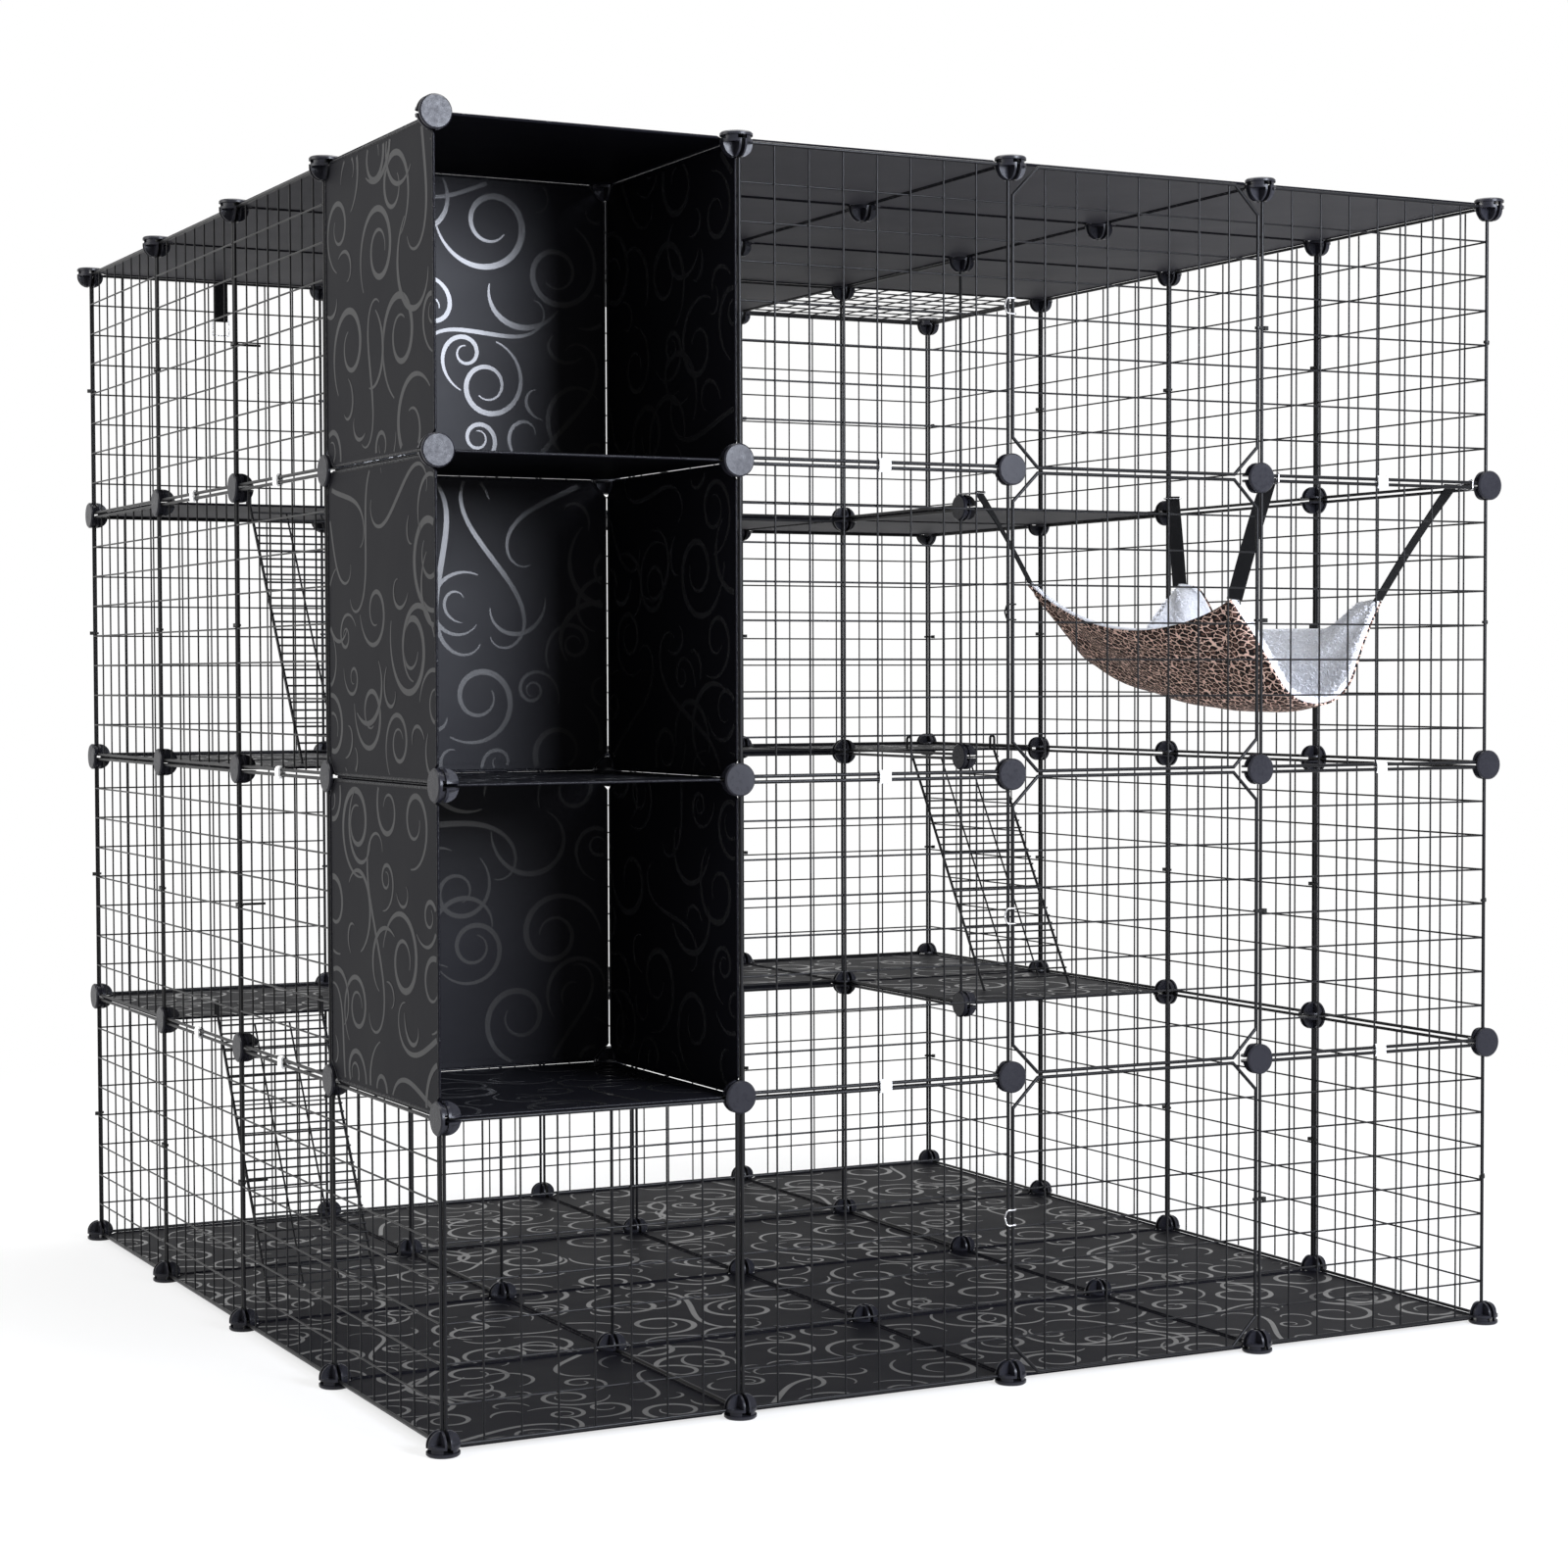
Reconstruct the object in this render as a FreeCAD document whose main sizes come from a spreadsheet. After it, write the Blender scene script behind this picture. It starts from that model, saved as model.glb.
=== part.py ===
# Walk-in wire cat cage: a grid of 4 x 4 x 4 cells of 35 cm panels held by snap connectors, with
# a three-storey cabinet, three L-shaped shelves, four hinged doors, three ladders and a hammock.
# Frame: +Z up, -Y is the front with the doors, +X to the right. The origin is at the bottom centre.
import FreeCAD
import Part

import math
import os

import Sketcher
from FreeCAD import Placement, Rotation, Vector

CELLS = 4          # cells along each edge of the cage
MESH_SPACES = 8    # openings along each edge of a wire panel
EASE = 0.9         # bend radius of a narrow wire loop, as a share of its half width
FINE = 1e-6        # a length that counts as nothing

SIZES = (
    # the grid and the wire panels
    ("pitch", 354.0, "distance between neighbouring grid planes"),
    ("frame_wire", 4.0, "diameter of a panel's frame wire"),
    ("frame_gap", 2.4, "clear gap between the frame wires of two neighbouring panels"),
    ("corner_bend", 8.0, "bend radius at the corner of a wire frame"),
    ("mesh_wire", 2.2, "diameter of the mesh wires"),
    ("weld_gap", 0.1, "room left at a weld between two wires"),
    # the sealed resin panels
    ("sheet_thick", 0.8, "thickness of the resin sheet"),
    ("rim_wire", 3.2, "diameter of the wrapped rim of a resin panel"),
    # the snap connectors
    ("connector_dia", 37.0, "diameter of a connector's disc and collar"),
    ("disc_thick", 4.2, "thickness of the disc"),
    ("disc_edge", 1.6, "bevel round the disc's outer face"),
    ("groove_depth", 2.0, "depth of the groove between disc and collar"),
    ("collar_height", 3.2, "height of the collar above the groove"),
    ("crown_rise", 20.5, "height of the crown above the panel plane"),
    ("crown_tip_dia", 15.0, "diameter of the crown at its tip"),
    ("fin_thick", 2.4, "thickness of the fins beside the crown's slots"),
    ("fit_gap", 0.3, "clearance between a wire or sheet and what it sits in"),
    # the doors
    ("door_corner_cut", 34.0, "leg of the cut corners of a door"),
    ("tie_width", 3.0, "width of a cable tie"),
    ("tie_thick", 1.2, "thickness of a cable tie"),
    ("tie_head", 5.0, "edge of a cable tie's head"),
    ("tie_tail", 36.0, "length of the tail that some cable ties keep"),
    ("latch_wire", 2.0, "diameter of a latch's wire"),
    ("latch_height", 18.0, "distance between the two arms of a latch"),
    ("latch_hook", 2.0, "reach of the latch's hook past the middle of the wire that it holds"),
    # the white clips
    ("clip_length", 14.0, "length of a panel clip along the wires"),
    ("clip_wall", 2.2, "wall of a panel clip"),
    # the ladders
    ("ladder_width", 150.0, "distance between the rails of a ladder"),
    ("rail_wire", 4.0, "diameter of a ladder's rails"),
    ("rung_wire", 2.6, "diameter of the rungs and the inner rails"),
    ("rung_pitch", 12.8, "distance between two rungs"),
    ("ladder_run", 226.0, "distance from the shelf's rim to the foot of a ladder"),
    ("hook_rise", 21.0, "height of a ladder's hooks above the shelf"),
    ("hook_back", 5.0, "distance from the rim's centre to the hook's inner leg"),
    ("hook_front", 7.0, "distance from the rim's centre to the hook's outer leg"),
    ("hook_bend", 4.5, "bend radius of a ladder's hooks"),
    ("tip_gap", 1.3, "room under the hook's tip for the ladder to tilt"),
    ("upper_ladder_x", 202.0, "distance of the upper ladder's middle from the left wall"),
    ("middle_ladder_x", 163.0, "distance of the middle ladder's middle from the right wall"),
    ("lower_ladder_x", 150.0, "distance of the lower ladder's middle from the left wall"),
    # the hammock
    ("cover_thick", 3.0, "thickness of the hammock's printed cover"),
    ("lining_thick", 7.0, "thickness of the hammock's plush lining"),
    ("hammock_width", 236.0, "width of the hammock between its top edges"),
    ("hammock_bottom", 62.0, "inner radius of the hammock's bottom"),
    ("hammock_front_gap", 152.0, "distance from the front wall to the hammock's front edge"),
    ("hammock_length", 450.0, "length of the hammock"),
    ("hammock_side_gap", 57.0, "distance from the right wall to the hammock's top edge"),
    ("front_drop", 144.0, "drop of the front corners below the upper shelf"),
    ("middle_drop", 180.0, "drop of the side edges at half length"),
    ("rear_drop", 112.0, "drop of the rear corners"),
    ("front_sag", 140.0, "depth of the hammock at its front edge"),
    ("middle_sag", 100.0, "depth of the hammock at half length"),
    ("rear_sag", 114.0, "depth of the hammock at its rear edge"),
    ("strap_width", 20.0, "width of the webbing"),
    ("strap_thick", 2.0, "thickness of the webbing"),
    ("hook_wire", 1.6, "diameter of the snap hooks' wire"),
    ("hook_reach", 34.0, "distance from the held wire to the hook's far end"),
    ("hook_offset", 27.0, "distance of a snap hook from the nearest grid line"),
    ("hanging_loop_x", 196.0, "distance of the short webbing loop on the back wall from the left wall"),
    ("hanging_loop_drop", 55.0, "drop of the short loop's lower bend below the wire"),
    ("hanging_loop_thick", 0.9, "thickness of the short loop's webbing"),
    ("hanging_ring_height", 22.0, "height of the ring in the short loop"),
)

doc = FreeCAD.newDocument("cat_cage")
sheet = doc.addObject("Spreadsheet::Sheet", "sizes")
for row, (alias, value, meaning) in enumerate(SIZES, start=1):
    sheet.set(f"A{row}", meaning)
    sheet.set(f"B{row}", str(value))
    sheet.setAlias(f"B{row}", alias)
doc.recompute()


def number(expression):
    """The value of an expression on the sheet's cells."""
    return float(sheet.evalExpression(expression))


def size(alias):
    """The value of one cell of the sheet."""
    return number(f"sizes.{alias}")


# Expressions that several pieces share
INSET = "(sizes.frame_gap + sizes.frame_wire) / 2"
HALF = f"(sizes.pitch / 2 - {INSET})"
SEAT = "(sizes.frame_wire / 2 + sizes.fit_gap)"
DISC_RADIUS = "(sizes.connector_dia / 2)"
SLOT = f"({INSET} + sizes.frame_wire / 2 + sizes.fit_gap)"
LOBE_CUT = "(sizes.corner_bend - sizes.frame_wire / 2 - sizes.fit_gap)"
GROOVE_RADIUS = f"({DISC_RADIUS} - sizes.groove_depth)"
SHEET_CUT = f"(({GROOVE_RADIUS} + sizes.rim_wire / 2 + sizes.fit_gap) * sqrt(2) - 2 * {INSET})"
MESH_LAYER = "((sizes.mesh_wire + sizes.weld_gap) / 2)"
MESH_LENGTH = f"(2 * ({HALF} - sizes.frame_wire / 2 - sizes.weld_gap))"

pitch = size("pitch")
inset = number(INSET)
half = number(HALF)
wire_radius = size("frame_wire") / 2
rim_radius = size("rim_wire") / 2
fit_gap = size("fit_gap")
floor_level = size("disc_thick") + number(SEAT)


# Helpers for sketches and bodies

def origin_feature(body, role):
    """One of a body's own origin planes or axes."""
    return next(item for item in body.Origin.OriginFeatures if item.Role == role)


def add_sketch(body, name, role):
    """An empty sketch on one of the body's origin planes."""
    sketch = body.newObject("Sketcher::SketchObject", name)
    sketch.AttachmentSupport = [(origin_feature(body, role), "")]
    sketch.MapMode = "FlatFace"
    return sketch


def pin(sketch, geometry, position, axis, expression):
    """Bind one coordinate of a sketch point to an expression."""
    value = number(expression)
    if abs(value) < FINE:
        line = -2 if axis == 0 else -1
        sketch.addConstraint(Sketcher.Constraint("PointOnObject", geometry, position, line))
        return
    kind = "DistanceX" if axis == 0 else "DistanceY"
    if value > 0:
        constraint = Sketcher.Constraint(kind, -1, 1, geometry, position, value)
    else:
        constraint = Sketcher.Constraint(kind, geometry, position, -1, 1, -value)
        expression = f"-({expression})"
    index = sketch.addConstraint(constraint)
    sketch.setExpression(f"Constraints[{index}]", expression)


def draw_outline(sketch, points, rounded=()):
    """A closed outline through points given as expressions; edges listed in rounded are arcs.

    The outline runs anticlockwise, and each arc starts in the direction of the line before it.
    """
    places = [Vector(number(x), number(y), 0) for x, y in points]
    count = len(points)
    for index, start in enumerate(places):
        end = places[(index + 1) % count]
        if index in rounded:
            before = (start - places[index - 1]).normalize()
            normal = Vector(-before.y, before.x, 0)
            chord = end - start
            radius = chord.Length ** 2 / (2 * chord.dot(normal))
            centre = start + normal * radius
            angles = [math.atan2(p.y - centre.y, p.x - centre.x) for p in (start, end)]
            circle = Part.Circle(centre, Vector(0, 0, 1), radius)
            sketch.addGeometry(Part.ArcOfCircle(circle, angles[0], angles[1]))
        else:
            sketch.addGeometry(Part.LineSegment(start, end))
    for index in range(count):
        following = (index + 1) % count
        kind = "Tangent" if following in rounded else "Coincident"
        sketch.addConstraint(Sketcher.Constraint(kind, index, 2, following, 1))
    for index, (x, y) in enumerate(points):
        pin(sketch, index, 1, 0, x)
        pin(sketch, index, 1, 1, y)


def frame_outline(cut):
    """Corner points of a square outline with cut corners, from the middle of its lower side."""
    near = f"({HALF} - {cut})"
    return [
        ("0", f"-{HALF}"),
        (near, f"-{HALF}"), (HALF, f"-{near}"),
        (HALF, near), (near, HALF),
        (f"-{near}", HALF), (f"-{HALF}", near),
        (f"-{HALF}", f"-{near}"), (f"-{near}", f"-{HALF}"),
    ]


def add_wire_rim(body, path, diameter, transition):
    """Sweep a round wire along a frame outline."""
    profile = add_sketch(body, f"{body.Name}_section", "YZ_Plane")
    centre = Vector(-half, 0, 0)
    profile.addGeometry(Part.Circle(centre, Vector(0, 0, 1), size(diameter) / 2))
    pin(profile, 0, 3, 0, f"-{HALF}")
    pin(profile, 0, 3, 1, "0")
    index = profile.addConstraint(Sketcher.Constraint("Radius", 0, size(diameter) / 2))
    profile.setExpression(f"Constraints[{index}]", f"sizes.{diameter} / 2")
    doc.recompute()
    pipe = body.newObject("PartDesign::AdditivePipe", f"{body.Name}_wire")
    pipe.Profile = profile
    pipe.Spine = (path, [f"Edge{n}" for n in range(1, path.GeometryCount + 1)])
    pipe.Transition = transition
    doc.recompute()
    return pipe


# Masters: one of each kind of piece, drawn in its own frame

def make_wire_frame():
    """A square frame of bent wire, in its XY plane."""
    body = doc.addObject("PartDesign::Body", "wire_frame")
    path = add_sketch(body, "wire_frame_path", "XY_Plane")
    draw_outline(path, frame_outline("sizes.corner_bend"), rounded=(1, 3, 5, 7))
    add_wire_rim(body, path, "frame_wire", "Transformed")
    return body


def make_door_frame():
    """A square frame of wire with its corners cut off to pass the connectors."""
    body = doc.addObject("PartDesign::Body", "door_frame")
    path = add_sketch(body, "door_frame_path", "XY_Plane")
    draw_outline(path, frame_outline("sizes.door_corner_cut"))
    add_wire_rim(body, path, "frame_wire", "Right corner")
    return body


def make_resin_panel():
    """A resin sheet wrapped round a wire rim, its corners cut to pass the connectors."""
    body = doc.addObject("PartDesign::Body", "resin_panel")
    outline = add_sketch(body, "resin_panel_outline", "XY_Plane")
    draw_outline(outline, frame_outline(SHEET_CUT))
    pad = body.newObject("PartDesign::Pad", "resin_sheet")
    pad.Profile = outline
    pad.Midplane = True
    pad.setExpression("Length", "sizes.sheet_thick")
    doc.recompute()
    add_wire_rim(body, outline, "rim_wire", "Right corner")
    return body


def make_connector():
    """A disc with a domed crown of fins: panel corners hook round the crown's four quarters.

    The panel plane is at z = 0, the disc lies below it and the crown rises above it.
    """
    body = doc.addObject("PartDesign::Body", "snap_connector")
    profile = add_sketch(body, "connector_profile", "XZ_Plane")
    bottom = f"-({SEAT} + sizes.disc_thick)"
    draw_outline(profile, [
        ("0", bottom),
        (f"{DISC_RADIUS} - sizes.disc_edge", bottom),
        (DISC_RADIUS, f"{bottom} + sizes.disc_edge"),
        (DISC_RADIUS, f"-{SEAT}"),
        (GROOVE_RADIUS, f"-{SEAT}"),
        (GROOVE_RADIUS, SEAT),
        (DISC_RADIUS, SEAT),
        (DISC_RADIUS, f"{SEAT} + sizes.collar_height"),
        ("sizes.crown_tip_dia / 2", "sizes.crown_rise"),
        ("0", "sizes.crown_rise"),
    ], rounded=(7,))
    turned = body.newObject("PartDesign::Revolution", "connector_turned")
    turned.Profile = profile
    turned.ReferenceAxis = (profile, ["V_Axis"])
    turned.Angle = 360
    doc.recompute()
    corner = f"({SLOT} + {LOBE_CUT})"
    cut_cross(body, "seat_slots", f"-{SEAT}", [(SLOT, corner), (corner, SLOT)], f"2 * {SEAT}")
    cut_cross(body, "crown_slots", SEAT, [(SEAT, SEAT)], "sizes.crown_rise")
    hollow_crown(body)
    return body


def cut_cross(body, name, level, inner, depth):
    """Cut two crossing slots upward from a level; inner holds the corner points of one quarter."""
    sketch = add_sketch(body, name, "XY_Plane")
    sketch.setExpression("AttachmentOffset.Base.z", level)
    far = "(sizes.connector_dia)"
    side = inner[0][0]
    quarter = [(far, side)] + [(x, y) for y, x in inner] + [(side, far)]
    points = list(quarter)
    points += [(f"-{x}", y) for x, y in reversed(quarter)]
    points += [(f"-{x}", f"-{y}") for x, y in quarter]
    points += [(x, f"-{y}") for x, y in reversed(quarter)]
    draw_outline(sketch, points)
    cut_upward(body, sketch, depth)


def hollow_crown(body):
    """Hollow the four quarters of the crown above its collar, which leaves fins beside the slots."""
    sketch = add_sketch(body, "crown_hollow", "XY_Plane")
    sketch.setExpression("AttachmentOffset.Base.z", f"{SEAT} + sizes.collar_height")
    near = f"({SEAT} + sizes.fin_thick)"
    far = "sizes.connector_dia"
    draw_outline(sketch, [(near, near), (far, near), (far, far), (near, far)])
    hollow = cut_upward(body, sketch, "sizes.crown_rise")
    pattern = body.newObject("PartDesign::PolarPattern", "crown_hollows")
    pattern.Originals = [hollow]
    pattern.Axis = (origin_feature(body, "Z_Axis"), [""])
    pattern.Angle = 360
    pattern.Occurrences = 4
    body.Tip = pattern
    doc.recompute()


def cut_upward(body, sketch, depth):
    """Cut a sketch's outline out of a body, upward from the sketch."""
    cut = body.newObject("PartDesign::Pocket", f"{sketch.Name}_cut")
    cut.Profile = sketch
    cut.setExpression("Length", depth)
    cut.Reversed = True
    doc.recompute()
    return cut


def make_rod(name, diameter, length):
    """A straight wire along +Z."""
    rod = doc.addObject("Part::Cylinder", name)
    rod.setExpression("Radius", f"{diameter} / 2")
    rod.setExpression("Height", length)
    doc.recompute()
    return rod


def make_oval(name, radius, height):
    """An upright oval bar round a pair of neighbouring frame wires, standing on its XY plane."""
    pieces = []
    for side in (-1, 1):
        end = doc.addObject("Part::Cylinder", f"{name}_end_{side + 1}")
        end.setExpression("Radius", radius)
        end.setExpression("Height", height)
        end.setExpression("Placement.Base.x", f"{side} * {INSET}")
        end.setExpression("Placement.Base.z", f"-{height} / 2")
        pieces.append(end)
    middle = doc.addObject("Part::Box", f"{name}_middle")
    middle.setExpression("Length", f"2 * {INSET}")
    middle.setExpression("Width", f"2 * {radius}")
    middle.setExpression("Height", height)
    middle.setExpression("Placement.Base.x", f"-{INSET}")
    middle.setExpression("Placement.Base.y", f"-{radius}")
    middle.setExpression("Placement.Base.z", f"-{height} / 2")
    pieces.append(middle)
    oval = doc.addObject("Part::MultiFuse", name)
    oval.Shapes = pieces
    oval.Refine = True
    doc.recompute()
    return oval


def make_band(name, wall, height):
    """A closed band round two neighbouring wires that run along Z."""
    bore = "(sizes.frame_wire / 2 + sizes.fit_gap)"
    band = doc.addObject("Part::Cut", name)
    band.Base = make_oval(f"{name}_outside", f"({bore} + sizes.{wall})", f"sizes.{height}")
    band.Tool = make_oval(f"{name}_inside", bore, f"(2 * sizes.{height})")
    doc.recompute()
    return band


def make_tie():
    """A cable tie: a band with a square head beside its right-hand wire."""
    band = make_band("tie_band", "tie_thick", "tie_width")
    head = doc.addObject("Part::Box", "tie_head_block")
    head.setExpression("Length", "sizes.tie_head")
    head.setExpression("Width", "sizes.tie_head")
    head.setExpression("Height", "sizes.tie_head")
    edge = f"({INSET} + sizes.frame_wire / 2 + sizes.fit_gap + sizes.tie_thick / 2)"
    head.setExpression("Placement.Base.x", edge)
    head.setExpression("Placement.Base.y", "-sizes.tie_head / 2")
    head.setExpression("Placement.Base.z", "-sizes.tie_head / 2")
    tie = doc.addObject("Part::Fuse", "cable_tie")
    tie.Base = band
    tie.Tool = head
    doc.recompute()
    return tie


def make_tailed_tie(tie):
    """The same tie with its tail left on, which runs out of the head across the wires."""
    tail = doc.addObject("Part::Box", "tie_tail_strip")
    tail.setExpression("Length", "sizes.tie_thick")
    tail.setExpression("Width", "sizes.tie_tail")
    tail.setExpression("Height", "sizes.tie_width")
    middle = f"{INSET} + sizes.frame_wire / 2 + sizes.fit_gap + sizes.tie_head / 2"
    tail.setExpression("Placement.Base.x", middle)
    tail.setExpression("Placement.Base.y", "-sizes.tie_tail")
    tail.setExpression("Placement.Base.z", "-sizes.tie_width / 2")
    tailed = doc.addObject("Part::Fuse", "tailed_tie")
    tailed.Base = tie
    tailed.Tool = tail
    doc.recompute()
    return tailed


# Helpers for bent wire and for placing copies

def bent_path(points, bend):
    """A path of straight runs joined by arcs of one bend radius."""
    edges = []
    start = points[0]
    for before, corner, after in zip(points, points[1:], points[2:]):
        back = (before - corner).normalize()
        ahead = (after - corner).normalize()
        turn = math.pi - back.getAngle(ahead)
        reach = bend * math.tan(turn / 2)
        inner = (back + ahead).normalize()
        depth = bend / math.cos(turn / 2) - bend
        first = corner + back * reach
        last = corner + ahead * reach
        if (first - start).Length > FINE:
            edges.append(Part.LineSegment(start, first).toShape())
        edges.append(Part.Arc(first, corner + inner * depth, last).toShape())
        start = last
    edges.append(Part.LineSegment(start, points[-1]).toShape())
    return Part.Wire(edges)


def bent_wire(points, bend, radius):
    """A round wire bent along straight runs and arcs."""
    path = bent_path(points, bend)
    start = points[0]
    ring = Part.Wire([Part.makeCircle(radius, start, points[1] - start)])
    return path.makePipeShell([ring], True, False)


def wire_loop(points, bend, radius):
    """A closed loop of round wire; the first point lies in the middle of a straight run."""
    path = bent_path(list(points) + [points[0]], bend)
    ring = Part.Wire([Part.makeCircle(radius, points[0], points[1] - points[0])])
    return path.makePipeShell([ring], True, False)


def grid(i, j, k):
    """A point of the grid: i to the right, j to the back, k up, each from 0 to CELLS."""
    middle = CELLS / 2
    return Vector((i - middle) * pitch, (j - middle) * pitch, floor_level + k * pitch)


LYING = Rotation()
FACING_FRONT = Rotation(Vector(1, 0, 0), 90)
FACING_SIDE = Rotation(Vector(1, 1, 1), 120)


def lying_panel(i, j, k):
    """Place of a level panel in cell i, j at level k."""
    return Placement(grid(i + 0.5, j + 0.5, k), LYING)


def front_panel(i, j, k):
    """Place of an upright panel that faces the front, in column i of plane j, storey k."""
    return Placement(grid(i + 0.5, j, k + 0.5), FACING_FRONT)


def side_panel(i, j, k):
    """Place of an upright panel that faces the side, in plane i, row j, storey k."""
    return Placement(grid(i, j + 0.5, k + 0.5), FACING_SIDE)


def connector_place(i, j, k, outward):
    """Place of a connector whose disc faces outward."""
    return Placement(grid(i, j, k), Rotation(Vector(0, 0, -1), Vector(*outward)))


subparts = []


def add_node(label, solids):
    """One named sub-part from a list of solids in their places."""
    feature = doc.addObject("Part::Feature", label)
    feature.Label = label
    feature.Shape = solids[0] if len(solids) == 1 else Part.makeCompound(solids)
    subparts.append(feature)
    return feature


def copies(master, places):
    """Copies of a master's solid at the given places."""
    solid = master.Shape.Solids[0] if hasattr(master, "Shape") else master
    placed = []
    for place in places:
        copy = solid.copy()
        copy.Placement = place.multiply(copy.Placement)
        placed.append(copy)
    return placed


wire_frame = make_wire_frame()
door_frame = make_door_frame()
resin_panel = make_resin_panel()
connector = make_connector()
mesh_rod = make_rod("mesh_rod", "sizes.mesh_wire", MESH_LENGTH)
cable_tie = make_tie()
tailed_tie = make_tailed_tie(cable_tie)
panel_clip = make_band("panel_clip", "clip_wall", "clip_length")


def mesh_places(panel):
    """Places of the mesh wires of one panel: upright wires in front, level wires behind."""
    layer = number(MESH_LAYER)
    reach = number(MESH_LENGTH) / 2
    along_y = Rotation(Vector(1, 0, 0), -90)
    along_x = Rotation(Vector(0, 1, 0), 90)
    places = []
    for count in range(1, MESH_SPACES):
        offset = half * (2 * count / MESH_SPACES - 1)
        places.append(panel.multiply(Placement(Vector(offset, -reach, layer), along_y)))
        places.append(panel.multiply(Placement(Vector(-reach, offset, -layer), along_x)))
    return places


def add_wire_panels(label, frame, places):
    """A group of wire panels: their frames and their mesh, as two sub-parts."""
    add_node(f"{label}_frames", copies(frame, places))
    rods = [rod for place in places for rod in copies(mesh_rod, mesh_places(place))]
    add_node(f"{label}_mesh", rods)


# Walls, floor, roof and shelves

TIERS = range(CELLS)
DOOR_COLUMN = 2
CABINET_TIERS = range(1, CELLS)
VENT_CELL = (CELLS - 1, CELLS - 1)

floor_cells = [(i, j) for i in TIERS for j in TIERS]
roof_cells = [cell for cell in floor_cells if cell != VENT_CELL]
back_row = [(i, CELLS - 1) for i in TIERS]
right_wing = (CELLS - 1, CELLS - 2)
left_wing = (0, CELLS - 2)

add_node("floor_panels", copies(resin_panel, [lying_panel(i, j, 0) for i, j in floor_cells]))
add_node("roof_panels", copies(resin_panel, [lying_panel(i, j, CELLS) for i, j in roof_cells]))
shelf_cells = {1: back_row + [right_wing], 2: back_row + [left_wing], 3: back_row + [right_wing]}
for label, level in (("lower_shelf", 1), ("middle_shelf", 2), ("upper_shelf", 3)):
    add_node(label, copies(resin_panel, [lying_panel(i, j, level) for i, j in shelf_cells[level]]))

add_node("cabinet_left_panels", copies(resin_panel, [side_panel(0, 0, k) for k in CABINET_TIERS]))
add_node("cabinet_right_panels", copies(resin_panel, [side_panel(1, 0, k) for k in CABINET_TIERS]))
add_node("cabinet_back_panels", copies(resin_panel, [front_panel(0, 1, k) for k in CABINET_TIERS]))
add_node("cabinet_shelves", copies(resin_panel, [lying_panel(0, 0, k) for k in CABINET_TIERS]))

front_cells = [(0, 0)] + [(i, k) for i in TIERS if i not in (0, DOOR_COLUMN) for k in TIERS]
left_cells = [(0, 0)] + [(j, k) for j in TIERS if j > 0 for k in TIERS]
wall_cells = [(n, k) for n in TIERS for k in TIERS]
add_wire_panels("front", wire_frame, [front_panel(i, 0, k) for i, k in front_cells])
add_wire_panels("left", wire_frame, [side_panel(0, j, k) for j, k in left_cells])
add_wire_panels("right", wire_frame, [side_panel(CELLS, j, k) for j, k in wall_cells])
add_wire_panels("back", wire_frame, [front_panel(i, CELLS, k) for i, k in wall_cells])
add_wire_panels("roof_vent", wire_frame, [lying_panel(*VENT_CELL, CELLS)])

# Open frames that carry the inner corners of the shelves and of the cabinet
shelf_row = CELLS - 1
for label, places in (
    ("left_wing_frames", [side_panel(1, shelf_row - 1, k) for k in TIERS]),
    ("back_left_frames", [front_panel(1, shelf_row, k) for k in TIERS]),
    ("back_right_frames", [front_panel(2, shelf_row, k) for k in TIERS]),
    ("right_wing_frames", [side_panel(CELLS - 1, shelf_row - 1, k) for k in TIERS]),
    ("cabinet_support_frame", [side_panel(1, 0, 0)]),
):
    add_node(label, copies(wire_frame, places))

# Connectors: the disc faces out of the cage, or down and up on the floor and the roof
DOWN, UP = (0, 0, -1), (0, 0, 1)
FRONT, BACK = (0, -1, 0), (0, 1, 0)
LEFT, RIGHT = (-1, 0, 0), (1, 0, 0)
LINES = range(CELLS + 1)
MIDDLE_LEVELS = range(1, CELLS)
LEFT_FACING_LEVELS = (1, 2)   # levels where the front left corner shows its disc to the left

foot_places = [connector_place(i, j, 0, DOWN) for i in LINES for j in LINES]
roof_places = [connector_place(i, j, CELLS, UP) for i in LINES for j in LINES if (i, j) != (0, 0)]
front_places = [connector_place(i, 0, k, FRONT) for i in LINES if i > 0 for k in MIDDLE_LEVELS]
front_places += [connector_place(0, 0, k, FRONT) for k in LINES[1:] if k not in LEFT_FACING_LEVELS]
left_places = [connector_place(0, j, k, LEFT) for j in LINES if j > 0 for k in MIDDLE_LEVELS]
left_places += [connector_place(0, 0, k, LEFT) for k in LEFT_FACING_LEVELS]
right_places = [connector_place(CELLS, j, k, RIGHT) for j in LINES if j > 0 for k in MIDDLE_LEVELS]
back_places = [connector_place(i, CELLS, k, BACK) for i in LINES[1:-1] for k in MIDDLE_LEVELS]
inner_places = [connector_place(i, shelf_row, k, BACK) for i in LINES[1:-1] for k in MIDDLE_LEVELS]
inner_places += [connector_place(1, shelf_row - 1, k, RIGHT) for k in MIDDLE_LEVELS]
inner_places += [connector_place(CELLS - 1, shelf_row - 1, k, LEFT) for k in MIDDLE_LEVELS]
inner_places += [connector_place(1, 1, k, BACK) for k in MIDDLE_LEVELS]
for label, places in (("foot_connectors", foot_places), ("roof_connectors", roof_places),
                      ("front_connectors", front_places), ("left_connectors", left_places),
                      ("right_connectors", right_places), ("back_connectors", back_places),
                      ("inner_connectors", inner_places)):
    add_node(label, copies(connector, places))

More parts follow.
